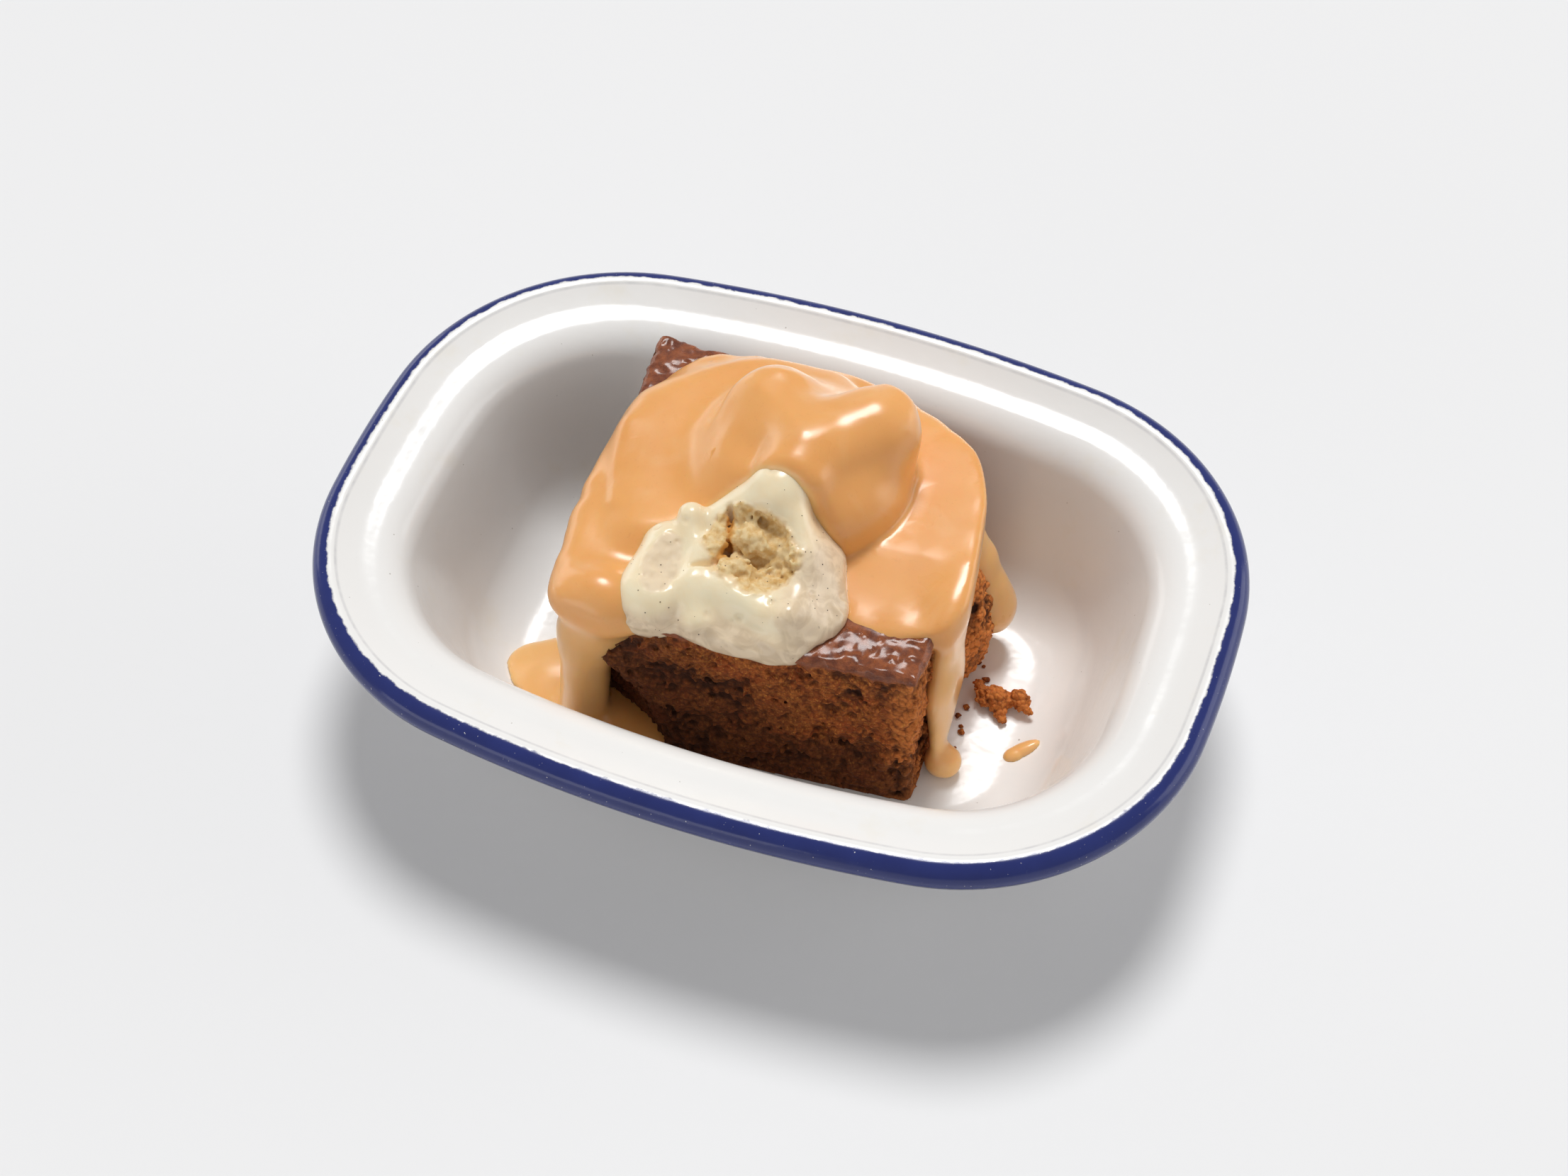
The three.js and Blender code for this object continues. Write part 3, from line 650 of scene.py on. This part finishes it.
class Nodes:
    """A material's node tree, with short calls for the nodes used here."""

    def __init__(self, name):
        self.material = bpy.data.materials.new(name)
        self.material.use_nodes = True
        self.tree = self.material.node_tree
        self.shader = self.tree.nodes["Principled BSDF"]
        self.place = self.new("ShaderNodeTexCoord").outputs["Object"]

    def new(self, kind, **settings):
        node = self.tree.nodes.new(kind)
        for key, value in settings.items():
            setattr(node, key, value)
        return node

    def put(self, socket, value):
        if isinstance(value, bpy.types.NodeSocket):
            self.tree.links.new(value, socket)
        elif isinstance(value, tuple) and len(value) == 3 and socket.type == "RGBA":
            socket.default_value = (*value, 1)
        else:
            socket.default_value = value

    def set(self, **inputs):
        for key, value in inputs.items():
            self.put(self.shader.inputs[key.replace("_", " ")], value)

    def noise(self, size, detail=3, roughness=0.55, distortion=0.0):
        """Noise with features about size millimetres across."""
        node = self.new("ShaderNodeTexNoise")
        self.put(node.inputs["Vector"], self.place)
        node.inputs["Scale"].default_value = 1 / (size * MM)
        node.inputs["Detail"].default_value = detail
        node.inputs["Roughness"].default_value = roughness
        node.inputs["Distortion"].default_value = distortion
        return node.outputs["Fac"]

    def cells(self, size):
        """Distance to the nearest of scattered points, about size millimetres apart."""
        node = self.new("ShaderNodeTexVoronoi")
        self.put(node.inputs["Vector"], self.place)
        node.inputs["Scale"].default_value = 1 / (size * MM)
        return node.outputs["Distance"]

    def attribute(self, name):
        """A number that the piece's mesh carries at each of its points."""
        return self.new("ShaderNodeAttribute", attribute_name=name).outputs["Fac"]

    def range(self, value, low, high, to_low=0.0, to_high=1.0):
        """The value, moved in a straight line from low..high to to_low..to_high and kept there."""
        node = self.new("ShaderNodeMapRange")
        keys = ("Value", "From Min", "From Max", "To Min", "To Max")
        for key, number in zip(keys, (value, low, high, to_low, to_high)):
            self.put(node.inputs[key], number)
        return node.outputs["Result"]

    def math(self, operation, a, b=0.0):
        node = self.new("ShaderNodeMath", operation=operation)
        self.put(node.inputs[0], a)
        self.put(node.inputs[1], b)
        return node.outputs["Value"]

    def mix(self, amount, a, b):
        """Colour a where amount is 0 and colour b where it is 1."""
        node = self.new("ShaderNodeMix", data_type="RGBA")
        self.put(node.inputs["Factor"], amount)
        self.put(node.inputs[MIX_COLOUR_A], a)
        self.put(node.inputs[MIX_COLOUR_B], b)
        return node.outputs[MIX_COLOUR_RESULT]

    def bump(self, height, distance, strength=1.0):
        node = self.new("ShaderNodeBump")
        node.inputs["Strength"].default_value = strength
        node.inputs["Distance"].default_value = distance * MM
        self.put(node.inputs["Height"], height)
        return node.outputs["Normal"]


# ---- materials ----

# Degrees round the rolled rim, up from its outermost line, between which paint and the painted shade of the
# crease inside the rim come and go.
PAINT_FADE = (90.0, 84.0)
CREASE_SHADE_IN = (108.0, 112.0)
CREASE_SHADE_OUT = (122.0, 116.0)
PAINT_WANDER = 26.0
ENAMEL_COLOURS = dict(
    white=(0.92, 0.91, 0.89), stain=(0.88, 0.82, 0.69), speck=(0.25, 0.2, 0.15), crease_shade=(0.42, 0.42, 0.45),
    blue=(0.012, 0.020, 0.13), light_blue=(0.020, 0.034, 0.19),
)


def enamel_material():
    n, colour = Nodes("enamel"), ENAMEL_COLOURS
    wander = n.math("MULTIPLY", n.math("SUBTRACT", n.noise(2.6, 4, 0.6), 0.5), PAINT_WANDER)
    paint = n.range(n.math("ADD", n.attribute("roll"), wander), *PAINT_FADE)
    chips = n.range(n.noise(0.5, 2), 0.73, 0.76)
    paint = n.math("MULTIPLY", paint, n.math("SUBTRACT", 1.0, n.math("MULTIPLY", chips, 0.8)))
    # A grey line along the crease just inside the rim: painted shade of the crease.
    past_edge = n.range(n.attribute("roll"), *CREASE_SHADE_IN)
    crease_shade_line = n.math("MULTIPLY", past_edge, n.range(n.attribute("roll"), *CREASE_SHADE_OUT))
    crease_shade_line = n.math("MULTIPLY", crease_shade_line, n.range(n.noise(5, 4, 0.7), 0.3, 0.7, 0.3, 1.0))
    stains = n.range(n.noise(14, 4, 0.6), 0.58, 0.74)
    specks = n.range(n.noise(0.9, 1), 0.80, 0.83)
    white = n.mix(n.math("MULTIPLY", stains, 0.35), colour["white"], colour["stain"])
    white = n.mix(n.math("MULTIPLY", specks, 0.6), white, colour["speck"])
    # The grey of the crease is painted shade.
    white = n.mix(n.math("MULTIPLY", crease_shade_line, 0.45), white, colour["crease_shade"])
    blue = n.mix(n.noise(6, 3), colour["blue"], colour["light_blue"])
    n.set(
        Base_Color=n.mix(paint, white, blue),
        Roughness=n.range(n.noise(9, 3), 0.3, 0.7, 0.13, 0.2),
        Normal=n.bump(n.math("ADD", n.noise(5, 2), n.math("MULTIPLY", n.noise(1.2, 2), 0.08)), 0.12, 0.6),
        Specular_IOR_Level=0.5,
    )
    return n.material


CAKE_COLOURS = dict(
    dark=(0.24, 0.056, 0.011), crumb=(0.55, 0.170, 0.031), reddish=(0.36, 0.07, 0.013),
    dry=(0.80, 0.26, 0.06), grain_highlight=(0.82, 0.36, 0.07), shade_between_grains=(0.13, 0.028, 0.006),
    recess_shade=(0.045, 0.011, 0.003), soaked=(0.055, 0.016, 0.006),
    crust=(0.17, 0.035, 0.008), light_crust=(0.40, 0.108, 0.027),
)


def cake_material():
    n, colour = Nodes("cake"), CAKE_COLOURS
    crust = n.attribute("crust")
    between = n.cells(0.95)
    crumb = n.mix(n.range(n.noise(0.8, 4, 0.65), 0.36, 0.66), colour["dark"], colour["crumb"])
    crumb = n.mix(n.range(n.noise(5, 3, 0.6), 0.45, 0.75), crumb, colour["reddish"])
    # Drier, lighter crumb; on the cake's right side and on the loose crumb it is also painted light.
    crumb = n.mix(n.math("MULTIPLY", n.attribute("dry"), 0.6), crumb, colour["dry"])
    # Light specks: painted highlights on the tops of grains.
    crumb = n.mix(n.math("MULTIPLY", n.range(n.noise(0.5, 3), 0.56, 0.68), 0.5), crumb, colour["grain_highlight"])
    # Darker between grains and in the deeper pores: painted shade.
    crumb = n.mix(n.range(between, 0.5, 1.0), crumb, colour["shade_between_grains"])
    crumb = n.mix(n.range(n.attribute("depth"), 0.1, 1.3), crumb, colour["recess_shade"])
    # Sauce-soaked crumb, also used as painted shade low on the left and under the ledge on the front.
    crumb = n.mix(n.attribute("soaked"), crumb, colour["soaked"])
    top = n.mix(n.range(n.noise(1.8, 4), 0.35, 0.7), colour["crust"], colour["light_crust"])
    grains = n.math("MULTIPLY", n.math("SUBTRACT", 1.0, between), n.math("SUBTRACT", 1.0, crust))
    blisters = n.math("MULTIPLY", n.noise(0.5, 4, 0.6), crust)
    n.set(
        Base_Color=n.mix(crust, crumb, top),
        Roughness=n.range(crust, 0.0, 1.0, 0.8, 0.48),
        Normal=n.bump(n.math("ADD", grains, blisters), 0.6, 1.0),
        Specular_IOR_Level=0.3,
        Coat_Weight=n.math("MULTIPLY", crust, 0.6),
        Coat_Roughness=0.19,
        Subsurface_Weight=0.15,
        Subsurface_Radius=(1.0, 0.4, 0.2),
        Subsurface_Scale=0.6 * MM,
    )
    return n.material


ICE_COLOURS = dict(
    cream=(0.98, 0.785, 0.52), pale_cream=(0.99, 0.845, 0.605), melted=(0.74, 0.585, 0.40),
    pale_melt_and_shade=(0.88, 0.72, 0.515), hollow=(0.80, 0.65, 0.46), broken=(0.69, 0.43, 0.15),
    pale_broken=(0.83, 0.64, 0.35), recess_shade=(0.66, 0.38, 0.10), crack=(0.66, 0.32, 0.07),
)


def ice_material():
    n, colour = Nodes("ice_cream"), ICE_COLOURS
    crater = n.attribute("crater")
    cream = n.mix(n.range(n.noise(6, 3), 0.35, 0.65), colour["cream"], colour["pale_cream"])
    melted = n.mix(n.range(n.noise(4, 3, 0.5, 1.5), 0.4, 0.6), colour["melted"], colour["pale_melt_and_shade"])
    # The melted colour at the foot, and the same darker colour on the right side as painted shade.
    cream = n.mix(n.attribute("melted"), cream, melted)
    # Darker in the lobe's grainy hollow: painted shade.
    cream = n.mix(n.math("MULTIPLY", n.attribute("hollow"), 0.8), cream, colour["hollow"])
    broken = n.mix(n.range(n.noise(1.6, 3), 0.35, 0.6), colour["broken"], colour["pale_broken"])
    # Darker where the crater is deepest: painted shade.
    broken = n.mix(n.range(n.attribute("depth"), 0.2, 1.6), broken, colour["recess_shade"])
    rough = n.math("MAXIMUM", crater, n.attribute("hollow"))
    n.set(
        Base_Color=n.mix(n.attribute("crack"), n.mix(crater, cream, broken), colour["crack"]),
        Roughness=n.range(rough, 0.0, 1.0, 0.27, 0.65),
        Normal=n.bump(n.noise(0.6, 4, 0.6), 0.06, 0.3),
        Specular_IOR_Level=0.4,
        Coat_Weight=n.range(rough, 0.0, 1.0, 0.5, 0.0),
        Coat_Roughness=0.2,
        Subsurface_Weight=0.4,
        Subsurface_Radius=(1.0, 0.9, 0.75),
        Subsurface_Scale=1.2 * MM,
    )
    return n.material


SAUCE_COLOURS = dict(
    toffee=(0.85, 0.395, 0.114), light_toffee=(0.92, 0.455, 0.145), swirl=(0.93, 0.53, 0.24),
    speck=(0.62, 0.24, 0.06), thin=(0.98, 0.60, 0.24),
)


def sauce_material():
    n, colour = Nodes("toffee_sauce"), SAUCE_COLOURS
    base = n.mix(n.range(n.noise(16, 3), 0.3, 0.7), colour["toffee"], colour["light_toffee"])
    swirl = n.range(n.noise(22, 4, 0.5, 2.5), 0.5, 0.72)
    base = n.mix(n.math("MULTIPLY", swirl, 0.4), base, colour["swirl"])
    specks = n.range(n.noise(0.7, 2), 0.62, 0.75)
    base = n.mix(n.math("MULTIPLY", specks, 0.15), base, colour["speck"])
    n.set(
        # Paler where the sauce is thin, and paler on the runs down the sides as painted light.
        Base_Color=n.mix(n.attribute("thin"), base, colour["thin"]),
        Roughness=n.range(n.noise(10, 3), 0.3, 0.7, 0.27, 0.36),
        Normal=n.bump(n.noise(1.6, 3), 0.03, 0.25),
        Specular_IOR_Level=0.3,
        Coat_Weight=0.75,
        Coat_Roughness=0.21,
        Subsurface_Weight=0.5,
        Subsurface_Radius=(1.0, 0.5, 0.22),
        Subsurface_Scale=1.5 * MM,
    )
    return n.material


SEED_COLOURS = dict(seed=(0.03, 0.018, 0.010), pale_seed=(0.12, 0.075, 0.045))


def seed_material():
    n, colour = Nodes("vanilla_seed"), SEED_COLOURS
    n.set(Base_Color=n.mix(n.noise(0.3, 2), colour["seed"], colour["pale_seed"]), Roughness=0.5)
    return n.material


# ---- pieces ----

PLAN_STEPS = dict(end=14, corner=34, side=16)
FILLET_STEPS = 14
WALL_STEPS = 5
FLOOR_RINGS = [6, 3]
ROLL = dict(steps=36, start=115, sweep=290, off_rim=180)


def plan_points():
    """Points and outward directions round the rim's middle, anticlockwise from the right end."""
    arcs = [
        ((END_CENTRE, 0), DISH["end_radius"], 0, LOW_ANGLE, PLAN_STEPS["end"]),
        (CORNER, DISH["corner_radius"], LOW_ANGLE, HIGH_ANGLE, PLAN_STEPS["corner"]),
        ((0, SIDE_CENTRE), DISH["side_radius"], HIGH_ANGLE, math.pi / 2, PLAN_STEPS["side"]),
    ]
    quarter = []
    for centre, radius, start, end, steps in arcs:
        for i in range(steps):
            a = start + (end - start) * i / steps
            out_x, out_y = math.cos(a), math.sin(a)
            quarter.append((centre[0] + radius * out_x, centre[1] + radius * out_y, out_x, out_y))
    middle = (0, SIDE_CENTRE + DISH["side_radius"], 0, 1)
    half = quarter + [middle] + [(-x, y, -nx, ny) for x, y, nx, ny in reversed(quarter[1:])]
    return np.array(half + [(-x, -y, -nx, -ny) for x, y, nx, ny in half])


def shell_profile():
    """Section of the shell as inset, height and degrees round the rolled rim, from inside to underneath."""
    upper = [(FOOT[0] + inset, DISH["sheet"], 0) for inset in FLOOR_RINGS]
    slope = DISH["wall_slope"]
    for i in range(FILLET_STEPS + 1):
        a = slope * i / FILLET_STEPS
        out, down = DISH["foot_radius"] * math.sin(a), DISH["foot_radius"] * math.cos(a)
        upper.append((FOOT[0] - out, FOOT[1] - down, a))
    wall_foot = upper[-1]
    for i in range(1, WALL_STEPS):
        share = i / WALL_STEPS
        inset = wall_foot[0] + (WALL_TOP[0] - wall_foot[0]) * share
        upper.append((inset, wall_foot[1] + (WALL_TOP[1] - wall_foot[1]) * share, slope))
    for i in range(FILLET_STEPS, -1, -1):
        a = slope * i / FILLET_STEPS
        out, up = DISH["shoulder_radius"] * math.sin(a), DISH["shoulder_radius"] * math.cos(a)
        upper.append((SHOULDER[0] + out, SHOULDER[1] + up, a))
    upper.append((DISH["lip_inset"], DISH["flange_top"] + DISH["lip_rise"], DISH["lip_slope"]))
    top = [(inset, z, ROLL["off_rim"]) for inset, z, a in upper]
    roll = []
    for i in range(ROLL["steps"] + 1):
        degrees = ROLL["start"] - ROLL["sweep"] * i / ROLL["steps"]
        a = math.radians(degrees)
        height = DISH["rim_height"] + DISH["rim_radius"] * math.sin(a)
        roll.append((-DISH["rim_radius"] * math.cos(a), height, degrees))
    under = []
    for inset, z, a in reversed(upper):
        under.append((inset - DISH["sheet"] * math.sin(a), z - DISH["sheet"] * math.cos(a), ROLL["off_rim"]))
    return top + roll + under


def make_dish(material):
    """The shell as rings of the plan, one for each point of the section, closed in the middle."""
    plan = plan_points()
    profile = np.array(shell_profile())
    count = len(plan)
    rings = []
    for inset, z, roll in profile:
        rings.append(np.column_stack([plan[:, :2] - inset * plan[:, 2:], np.full(count, z)]))
    vertices = np.concatenate(rings + [[[0, 0, profile[0][1]], [0, 0, profile[-1][1]]]])
    roll = np.concatenate([np.repeat(profile[:, 2], count), [ROLL["off_rim"]] * 2])
    i = np.arange(count)
    following = (i + 1) % count
    faces = []
    for ring in range(len(profile) - 1):
        a = ring * count
        faces.append(np.column_stack([a + i, a + count + i, a + count + following, a + following]))
    quads = np.concatenate(faces)
    middle = len(vertices) - 2
    last = (len(profile) - 1) * count
    piece_faces = quads.tolist()
    piece_faces += [[middle, int(a), int(b)] for a, b in zip(i, following)]
    piece_faces += [[middle + 1, last + int(b), last + int(a)] for a, b in zip(i, following)]
    return add_mesh("enamel_dish", vertices, piece_faces, material, "enamel", ["dish"], dict(roll=roll))


CAKE_MESH = dict(low=(-45, -36, 0), high=(43, 45, 46), cell=0.49, reach=3, adaptivity=0.05)
LOOSE_CRUMB_MESH = dict(low=(38, 0, 0), high=(54, 10, 9), cell=0.22, reach=3)
CRUST_RAGGED = (0.6, 2, 81)
# Darker towards the lower left, partly soaked crumb and partly painted shade; darker under the ledge low on
# the front, a painted shadow.
LOWER_LEFT_SOAK_AND_SHADE = dict(share=0.8, fade=0.022, ragged=(0.3, 12, 82), full=1.2)
UNDERCUT_SHADE = dict(share=0.6, top=20, start=32, slope=0.5, ragged=(2, 5, 84), full=6, front=(-24, -14))
# The right side, lighter towards the back: drier crumb and painted light.
LIT_AND_DRY = dict(ragged=(1.5, 4, 83), side=(29, 34), back=(-10, 5))
LOOSE_CRUMB_LOOK = dict(depth=0.3, dry=0.9)


def make_cake(material):
    """The pudding and the loose crumb, with how deep and crusty each point is, its soaked crumb carrying
    painted shade low down, and its dry crumb carrying painted light on the right side.
    """
    vertices, faces = mesh_field(cake, detail=cake_detail, **CAKE_MESH)
    x, y, z = vertices.T
    depth = cake_detail(vertices, np.zeros(len(vertices)))
    crust = step(z + noises(vertices, CRUST_RAGGED), *CRUST_EDGE)
    # Painted shade with some soaking: darker towards the lower left and under the front ledge.
    lower_left = 1.0 - LOWER_LEFT_SOAK_AND_SHADE["fade"] * x - LOWER_LEFT_SOAK_AND_SHADE["fade"] * z + noises(vertices, LOWER_LEFT_SOAK_AND_SHADE["ragged"])
    soaked = LOWER_LEFT_SOAK_AND_SHADE["share"] * step(lower_left, 0, LOWER_LEFT_SOAK_AND_SHADE["full"])
    ledge = np.minimum(UNDERCUT_SHADE["top"], UNDERCUT_SHADE["start"] - UNDERCUT_SHADE["slope"] * x)
    undercut = step(ledge - z + noises(vertices, UNDERCUT_SHADE["ragged"]), 0, UNDERCUT_SHADE["full"])
    undercut = undercut * (1 - step(y, *UNDERCUT_SHADE["front"]))
    soaked = np.maximum(soaked, UNDERCUT_SHADE["share"] * undercut)
    # Lighter on the right side and more towards the back: drier crumb, and painted light on that side.
    dry = step(x + noises(vertices, LIT_AND_DRY["ragged"]), *LIT_AND_DRY["side"]) * (1 + step(y, *LIT_AND_DRY["back"]))
    attributes = dict(depth=depth, crust=crust, soaked=soaked, dry=dry)
    add_mesh("pudding_sponge", vertices, faces, material, "cake", ["pudding"], attributes)
    vertices, faces = mesh_field(crumb, detail=crumb_detail, **LOOSE_CRUMB_MESH)
    depth = LOOSE_CRUMB_LOOK["depth"] * crumb_detail(vertices, np.zeros(len(vertices)))
    attributes = dict(depth=depth, dry=np.full(len(vertices), LOOSE_CRUMB_LOOK["dry"]))
    add_mesh("loose_crumb", vertices, faces, material, "cake", ["cake_crumb"], attributes)


FINE_CRUMBS = dict(seed=5, count=10, size=(0.3, 0.75), low=(38.5, -9), high=(41.5, 14), lift=0.6)
CRUMB_BALL = dict(detail=3, roughness=0.5, seed=94)
SEEDS = dict(seed=9, count=90, size=(0.07, 0.16), clear_of_sauce=0.3)
SEED_BALL = dict(detail=1, roughness=0.2, seed=96)
BALL_SHAPE = (1, 0.85, 0.7)
BALL_NOISE = dict(scale=1.3, step=10)


def pebble(detail):
    """Points and triangles of a ball one unit in radius."""
    ball = bmesh.new()
    bmesh.ops.create_icosphere(ball, subdivisions=detail, radius=1)
    points = np.array([v.co[:] for v in ball.verts])
    triangles = np.array([[v.index for v in face.verts] for face in ball.faces])
    ball.free()
    return points, triangles


def scatter(places, sizes, detail, roughness, seed):
    """Points and triangles of rough grains at those places, joined as one piece."""
    ball, triangles = pebble(detail)
    vertices, faces = [], []
    for i, (place, size) in enumerate(zip(places, sizes)):
        lumpy = 1 + roughness * noise(ball * BALL_NOISE["scale"] + BALL_NOISE["step"] * i, 1, seed)
        faces += (triangles + i * len(ball)).tolist()
        vertices.append(place + ball * size * lumpy[:, None] * BALL_SHAPE)
    return np.concatenate(vertices), faces


def make_fine_crumbs(material):
    random = np.random.default_rng(FINE_CRUMBS["seed"])
    plan = random.uniform(FINE_CRUMBS["low"], FINE_CRUMBS["high"], (FINE_CRUMBS["count"], 2))
    sizes = random.uniform(*FINE_CRUMBS["size"], FINE_CRUMBS["count"])
    places = np.column_stack([plan, DISH["sheet"] + FINE_CRUMBS["lift"] * sizes])
    add_mesh("fine_crumbs", *scatter(places, sizes, **CRUMB_BALL), material, "cake")


ICE_MESH = dict(low=(-26, -31, 35), high=(22, 35, 68), cell=0.35, reach=2)
MELT_AND_SHADE = dict(ragged=(1.5, 4, 95), foot=(44.5, 47.5), side=(5, 12))
CRACK_COLOUR_FADE = (-0.35, 0.1)


def make_ice_cream(material):
    """The scoop, with where it is broken, hollow, cracked and melted, the painted shade on its right side,
    and the vanilla seeds on it.
    """
    vertices, faces = mesh_field(ice_cream, detail=ice_detail, **ICE_MESH)
    crater = in_crater(vertices)
    main_crack = np.minimum(bar(vertices, **CRACKS[0]), bar(vertices, **CRACKS[1]))
    wander = noises(vertices, MELT_AND_SHADE["ragged"])
    melted_foot = 1 - step(vertices[:, 2] + wander, *MELT_AND_SHADE["foot"])
    # Darker right side, given the melted colour: painted shade.
    shaded_side = step(vertices[:, 0] + wander, *MELT_AND_SHADE["side"])
    attributes = dict(
        crater=crater, hollow=in_lobe_hollow(vertices), melted=np.maximum(melted_foot, shaded_side),
        depth=ice_detail(vertices, np.zeros(len(vertices))),
        crack=step(-main_crack, *CRACK_COLOUR_FADE) * crater,
    )
    add_mesh("melting_ice_cream", vertices, faces, material, "ice_cream", ["ice_cream"], attributes)
    random = np.random.default_rng(SEEDS["seed"])
    open_surface = vertices[sauce(vertices) > SEEDS["clear_of_sauce"]]
    places = open_surface[random.choice(len(open_surface), SEEDS["count"], replace=False)]
    seeds = scatter(places, random.uniform(*SEEDS["size"], SEEDS["count"]), **SEED_BALL)
    add_mesh("vanilla_seeds", *seeds, seed_material(), "ice_cream")


SAUCE_MESH = dict(low=(-56, -37, 0), high=(46, 49, 72), cell=0.6, reach=3, adaptivity=0.01)
DROP_MESH = dict(low=(44, -16, 0), high=(66, 2, 14), cell=0.25)
THIN_ICE_EDGE = dict(share=0.7, within=(-1.4, -0.2), above=(48, 53))
THIN_PUDDLE = dict(below=(-7, -5.6), away=(34, 38))
LIT_RUNS = dict(below=(-41, -34), above=(5, 9))
THIN_AND_LIT_LOW = 0.55
THIN_DROP = 0.3


def make_sauce(material):
    """The poured sauce and the drop beside it, with where each is thin enough to look paler, and the runs
    down the sides painted paler as painted light.
    """
    vertices, faces = mesh_field(sauce, detail=sauce_detail, **SAUCE_MESH)
    x, _, z = vertices.T
    at_ice_edge = step(-ice_cream(vertices), *THIN_ICE_EDGE["within"]) * step(z, *THIN_ICE_EDGE["above"])
    in_puddle = step(-z, *THIN_PUDDLE["below"]) * step(np.abs(x), *THIN_PUDDLE["away"])
    # Runs down the sides, in shade, painted paler: painted light and reflection.
    in_runs = step(-z, *LIT_RUNS["below"]) * step(z, *LIT_RUNS["above"])
    thin = np.maximum(THIN_ICE_EDGE["share"] * at_ice_edge, THIN_AND_LIT_LOW * np.maximum(in_puddle, in_runs))
    add_mesh("poured_sauce", vertices, faces, material, "sauce", ["toffee_sauce"], dict(thin=thin))
    vertices, faces = mesh_field(drops, **DROP_MESH)
    thin = np.full(len(vertices), THIN_DROP)
    add_mesh("sauce_drop", vertices, faces, material, "sauce", attributes=dict(thin=thin))


make_dish(enamel_material())
cake_look = cake_material()
make_cake(cake_look)
make_fine_crumbs(cake_look)
make_ice_cream(ice_material())
make_sauce(sauce_material())


# ---- floor, light and camera ----

FLOOR = dict(size=6, height=-0.0002, colour=(0.86, 0.86, 0.865), roughness=0.6)


def make_stage():
    bpy.ops.mesh.primitive_plane_add(size=FLOOR["size"], location=(0, 0, FLOOR["height"]))
    floor = bpy.context.object
    floor.name = "floor"
    n = Nodes("floor")
    n.set(Base_Color=FLOOR["colour"], Roughness=FLOOR["roughness"])
    floor.data.materials.append(n.material)


WORLD_LIGHT = 0.37
SUN = dict(towards=(-0.123, 0.448, 1), strength=1.87, spread=math.radians(20))
PANELS = [
    dict(name="panel_right", location=(1.4, 0.8, 0.45), size=(1.4, 0.8), energy=5),
    dict(name="panel_left", location=(-1.6, 0.8, 0.3), size=(1.2, 0.5), energy=2.5),
    dict(name="panel_front", location=(-0.7, -1.4, 0.3), size=(1.4, 0.5), energy=3),
]


def make_lights():
    world = bpy.data.worlds.new("studio")
    bpy.context.scene.world = world
    world.use_nodes = True
    world.node_tree.nodes["Background"].inputs["Color"].default_value = (1, 1, 1, 1)
    world.node_tree.nodes["Background"].inputs["Strength"].default_value = WORLD_LIGHT
    light = bpy.data.lights.new("window", "SUN")
    light.energy = SUN["strength"]
    light.angle = SUN["spread"]
    lamp = bpy.data.objects.new("window", light)
    bpy.context.scene.collection.objects.link(lamp)
    lamp.rotation_euler = Vector(SUN["towards"]).to_track_quat("Z", "Y").to_euler()
    for panel in PANELS:
        light = bpy.data.lights.new(panel["name"], "AREA")
        light.shape = "RECTANGLE"
        light.size, light.size_y = panel["size"]
        light.energy = panel["energy"]
        lamp = bpy.data.objects.new(panel["name"], light)
        bpy.context.scene.collection.objects.link(lamp)
        lamp.location = panel["location"]
        lamp.rotation_euler = lamp.location.to_track_quat("Z", "Y").to_euler()


CAMERA = dict(
    place=(110.1, -296.3, 443.6), right=(0.938, 0.345, 0), back=(0.209, -0.567, 0.797),
    lens=60.4, sensor=36, nearest=0.01,
)


def make_camera():
    camera = bpy.data.objects.new("camera", bpy.data.cameras.new("camera"))
    bpy.context.scene.collection.objects.link(camera)
    right = Vector(CAMERA["right"]).normalized()
    back = Vector(CAMERA["back"]).normalized()
    up = back.cross(right).normalized()
    right = up.cross(back)
    x, y, z = CAMERA["place"]
    camera.matrix_world = Matrix((
        (right.x, up.x, back.x, x * MM),
        (right.y, up.y, back.y, y * MM),
        (right.z, up.z, back.z, z * MM),
        (0, 0, 0, 1),
    ))
    camera.data.lens = CAMERA["lens"]
    camera.data.sensor_width = CAMERA["sensor"]
    camera.data.clip_start = CAMERA["nearest"]
    bpy.context.scene.camera = camera


make_stage()
make_lights()
make_camera()
bpy.context.scene.view_settings.view_transform = "Standard"
